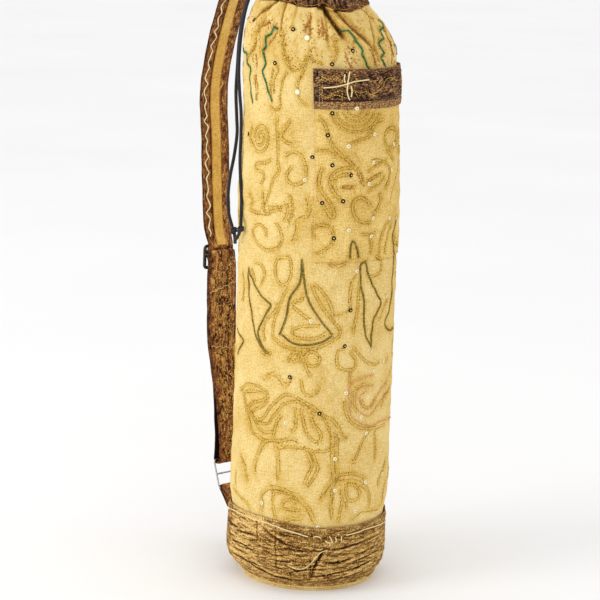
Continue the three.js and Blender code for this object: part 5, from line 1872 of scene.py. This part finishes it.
def make_casing_stitching():
    """A wavy thread that holds the casing's lower edge."""
    places = []
    for angle in np.arange(GAP_ANGLE + GAP_HALF + 3, GAP_ANGLE + 360 - GAP_HALF - 3, 0.8):
        low, high = [np.array(point) for point in casing_loops(angle)[0][:2]]
        turn = math.radians(angle)
        out = np.array([math.cos(turn), math.sin(turn), 0.6])
        wave = math.sin(angle * 0.5 + 1.6 * math.sin(angle * 0.17)) * math.sin(angle * 0.09 + 1)
        places.append(low + (high - low) * (0.3 + 0.3 * wave) + out * 0.6)
    thread = thread_parts(even(np.array(places), 1.2), CASING_THREAD, 5, 0.6)
    return stitch_object("casing_stitching", [thread], rust_thread)


def make_strap_stitching(down):
    line = even(down[int(WAVE_FROM * len(down)):], THREAD_PITCH)
    out = side_of(line)
    run = np.arange(len(line)) * THREAD_PITCH
    turn = 2 * math.pi * run / WAVE_LENGTH + 0.9 * np.sin(run * 0.05) + 0.5 * np.sin(run * 0.31)
    wave = WAVE_REACH * np.arcsin(0.96 * np.sin(turn)) * (0.8 + 0.3 * np.sin(run * 0.13 + 1))
    parts = []
    for stray, rise, radius in WAVE_STRANDS:
        side = -WAVE_SIDE + wave + stray * np.sin(run * 0.23)
        off = -(STRAP_THICKNESS / 2 + rise)
        places = in_strap_plane(line[:, 0] + out[:, 0] * off, line[:, 1] + out[:, 1] * off, side)
        parts.append(thread_parts(places, radius, 6, 0.95))
    return stitch_object("strap_stitching", parts, cream_thread)


def on_strap(path, distance, side, off):
    """Points off the middle of the strap's thickness at distances along its path, and the way outward
    there. A positive off lies on the left of the path."""
    run, out = runs(path), np.sign(off) * side_of(path)
    line, away = [np.stack([np.interp(distance, run, rows[:, k]) for k in (0, 1)], axis=1)
                  for rows in (path, out)]
    spots = line + away * abs(off)
    middle = in_strap_plane(spots[:, 0], spots[:, 1], side)
    return middle, unit(in_strap_plane(spots[:, 0] + away[:, 0], spots[:, 1] + away[:, 1], side) - middle)


def make_strap_end(down):
    """A square of stitches with a cross in it, where the strap is sewn to the shoulder."""
    low, high = SEWN_END
    corners = [(-SEWN_HALF, low), (SEWN_HALF, low), (SEWN_HALF, high), (-SEWN_HALF, high), (-SEWN_HALF, low),
               (SEWN_HALF, high), (SEWN_HALF, low), (-SEWN_HALF, high)]
    flat = even(np.array(corners, dtype=float), SEWN_PITCH)
    middle, outward = on_strap(down, flat[:, 1], flat[:, 0], -(STRAP_THICKNESS / 2 + SEWN_LIFT))
    tones = shades(0.6, 0.15, len(flat))
    parts = [beads(middle, unit(np.gradient(middle, axis=0)), outward, SEWN_STITCH, tones)]
    return stitch_object("strap_end_stitching", parts, cream_thread)


def make_strap_flecks(whole):
    """Short gold stitches scattered over the front of the doubled strap, and two cream threads across it."""
    run = runs(whole)
    lowest = int(np.argmin(whole[:, 1]))
    at = random.uniform(run[lowest] + 8, run[-1] - 16, FLECKS)
    columns = random.choice(FLECK_COLUMNS, FLECKS) + random.normal(0, 1.6, FLECKS)
    off = STRAP_THICKNESS / 2 + FLECK_LIFT
    middle, outward = on_strap(whole, at, columns, off)
    along = unit(on_strap(whole, at + 1.0, columns + random.normal(0, 0.4, FLECKS), off)[0] - middle)
    tones = shades(0.7, 0.25, FLECKS)
    half = FLECKS // 2
    gold = beads(middle[:half], along[:half], outward[:half], FLECK_SIZE, tones[:half])
    threads = [beads(middle[half:], along[half:], outward[half:], FLECK_SIZE, tones[half:] - 0.35)]
    for height, slope in CROSS_THREADS:
        side = np.linspace(-CROSS_HALF, CROSS_HALF, 24)
        start = np.interp(height, whole[lowest:, 1], run[lowest:])
        at = start + slope * side / CROSS_HALF + 0.8 * np.sin(side * 0.7)
        places = on_strap(whole, at, side, STRAP_THICKNESS / 2 + CROSS_LIFT)[0]
        threads.append(thread_parts(places, STRAP_THREAD, 5, 0.6))
    return [stitch_object("strap_flecks", [gold], gold_thread),
            stitch_object("strap_threads", threads, cream_thread)]


# Sequins

def sequin_parts(pixels, radius, plain=False):
    places = laid_on_cloth(pixels)
    places = np.vstack([places, round_the_back(places)])
    middle, outward = surface_frame(places[:, 0], places[:, 1])
    outward = unit(outward + random.normal(0, 0.12, outward.shape))
    turns = np.linspace(0, 2 * math.pi, SEQUIN_SIDES, endpoint=False)
    parts = []
    for centre, normal in zip(middle, outward):
        side = unit(np.cross(normal, [0, 0, 1.0]))
        up = np.cross(normal, side)
        ring = np.cos(turns)[:, None] * side + np.sin(turns)[:, None] * up
        points = np.vstack([
            centre + normal * 0.25,
            centre + ring * radius + normal * 0.5,
            centre + ring * radius * 0.42 + normal * 0.95,
            centre + ring * radius * 0.3 + normal * 0.9,
            centre + normal * 0.7,
        ])
        faces = []
        rim, lip, well = [1 + number * SEQUIN_SIDES for number in (0, 1, 2)]
        for k in range(SEQUIN_SIDES):
            n = (k + 1) % SEQUIN_SIDES
            faces += [(0, rim + n, rim + k), (rim + k, rim + n, lip + n, lip + k),
                      (lip + k, lip + n, well + n, well + k), (well + k, well + n, len(points) - 1)]
        # The middle of each sequin takes the look's last colour; on the bronze ones this is in part a painted
        # glint.
        tones = np.repeat([0.05, 0.05, 0.15, 0.9, 1.0], [1, SEQUIN_SIDES, SEQUIN_SIDES, SEQUIN_SIDES, 1])
        parts.append((points, faces, 0 * tones if plain else tones))
    return parts


def make_sequins():
    spread = sequin_parts(PALE_SEQUINS, SEQUIN_RADIUS)
    spread += sequin_parts(BIG_SEQUINS, BIG_SEQUIN * SEQUIN_RADIUS, True)
    pale = stitch_object("pale_sequins", spread, pale_sequin)
    bronze = stitch_object("bronze_sequins", sequin_parts(BRONZE_SEQUINS, SEQUIN_RADIUS), bronze_sequin)
    return [pale, bronze]


# Floor and light

def area_light(name, place, aim, size, power):
    data = bpy.data.lights.new(name, "AREA")
    data.size = size
    data.energy = power
    made = bpy.data.objects.new(name, data)
    bpy.context.scene.collection.objects.link(made)
    made.location = place
    made.rotation_euler = (Vector(aim) - Vector(place)).to_track_quat("-Z", "Y").to_euler()


def make_studio():
    bpy.ops.object.select_all(action="DESELECT")
    bpy.ops.mesh.primitive_plane_add(size=FLOOR_SIZE, location=(0, 0, FLOOR_Z))
    floor = bpy.context.object
    floor.name = "floor"
    floor.data.materials.append(floor_look())
    world = bpy.data.worlds.new("studio")
    world.use_nodes = True
    back = world.node_tree.nodes["Background"]
    back.inputs["Color"].default_value = (1, 1, 1, 1)
    back.inputs["Strength"].default_value = WORLD_STRENGTH
    bpy.context.scene.world = world
    area_light("key", KEY_PLACE, KEY_AIM, KEY_SIZE, KEY_POWER)
    bpy.context.scene.view_settings.view_transform = "Standard"
    bpy.context.scene.view_settings.look = "None"


# Strokes laid on the cloth, the gold ones with the half width of their couched stitches

def gold_spread(name):
    if name in BOLD_LINES:
        return BOLD_SPREAD
    return FINE_SPREAD if name in FINE_LINES else COUCHED_SPREAD


gold_strokes = [(laid_on_cloth(line), gold_spread(name)) for name, line in GOLD_LINES.items()]
gold_strokes.append((laid_on_cloth(spiral_pixels()), COUCHED_SPREAD))
gold_strokes += [(laid_on_cloth(fan_pixels(radius)), FINE_SPREAD) for radius in FAN_RADII]
for name in SIDE_LINES:
    rows = laid_on_cloth(GOLD_LINES[name])
    gold_strokes.append((rows + [SIDE_ANGLE - rows[:, 0].mean(), 0], gold_spread(name)))
green_strokes = [laid_on_cloth(line) for line in GREEN_LINES.values()]
olive_strokes = [laid_on_cloth(line) for line in OLIVE_LINES.values()]
pink_strokes = [laid_on_cloth(line) for line in PINK_LINES.values()]
all_strokes = [rows for rows, _ in gold_strokes] + green_strokes + olive_strokes + pink_strokes
stitched = pressed_by(all_strokes + [round_the_back(rows) for rows in all_strokes])
shoulder_folds = [(unrolled(*laid_on_cloth(line).T), depth, half) for line, depth, half in SHOULDER_FOLDS]
band_creases = []
for _ in range(BAND_RANDOM_CREASES):
    rows = np.array([random.uniform(0, 360), random.uniform(*CREASE_HEIGHTS)]) + np.zeros((5, 2))
    rows[:, 0] += np.linspace(0, random.uniform(*CREASE_SWEEP), 5)
    rows[:, 1] += np.cumsum(random.normal(0, 1.0, 5))
    band_creases.append((unrolled(*rows.T), random.uniform(*CREASE_DEPTH), random.uniform(*CREASE_HALF)))
for line, depth, half in BAND_CREASES:
    for rows in (laid_on_cloth(line), round_the_back(laid_on_cloth(line))):
        band_creases.append((unrolled(*rows.T), depth, half))

make_camera()
make_drawcord()
body = make_body()
casing = make_casing()
disc, welt = make_base()
band = make_band()
pocket = make_pocket()
trim = make_trim()
strap_down, strap_whole, strap, stripe, tab = make_strap()
make_hardware()
embroidery = make_embroidery()
topstitching = make_topstitching()
seams = make_seams()
casing_stitching = make_casing_stitching()
strap_stitching = [make_strap_stitching(strap_down), make_strap_end(strap_down)]
strap_stitching += make_strap_flecks(strap_whole)
sequins = make_sequins()
make_studio()
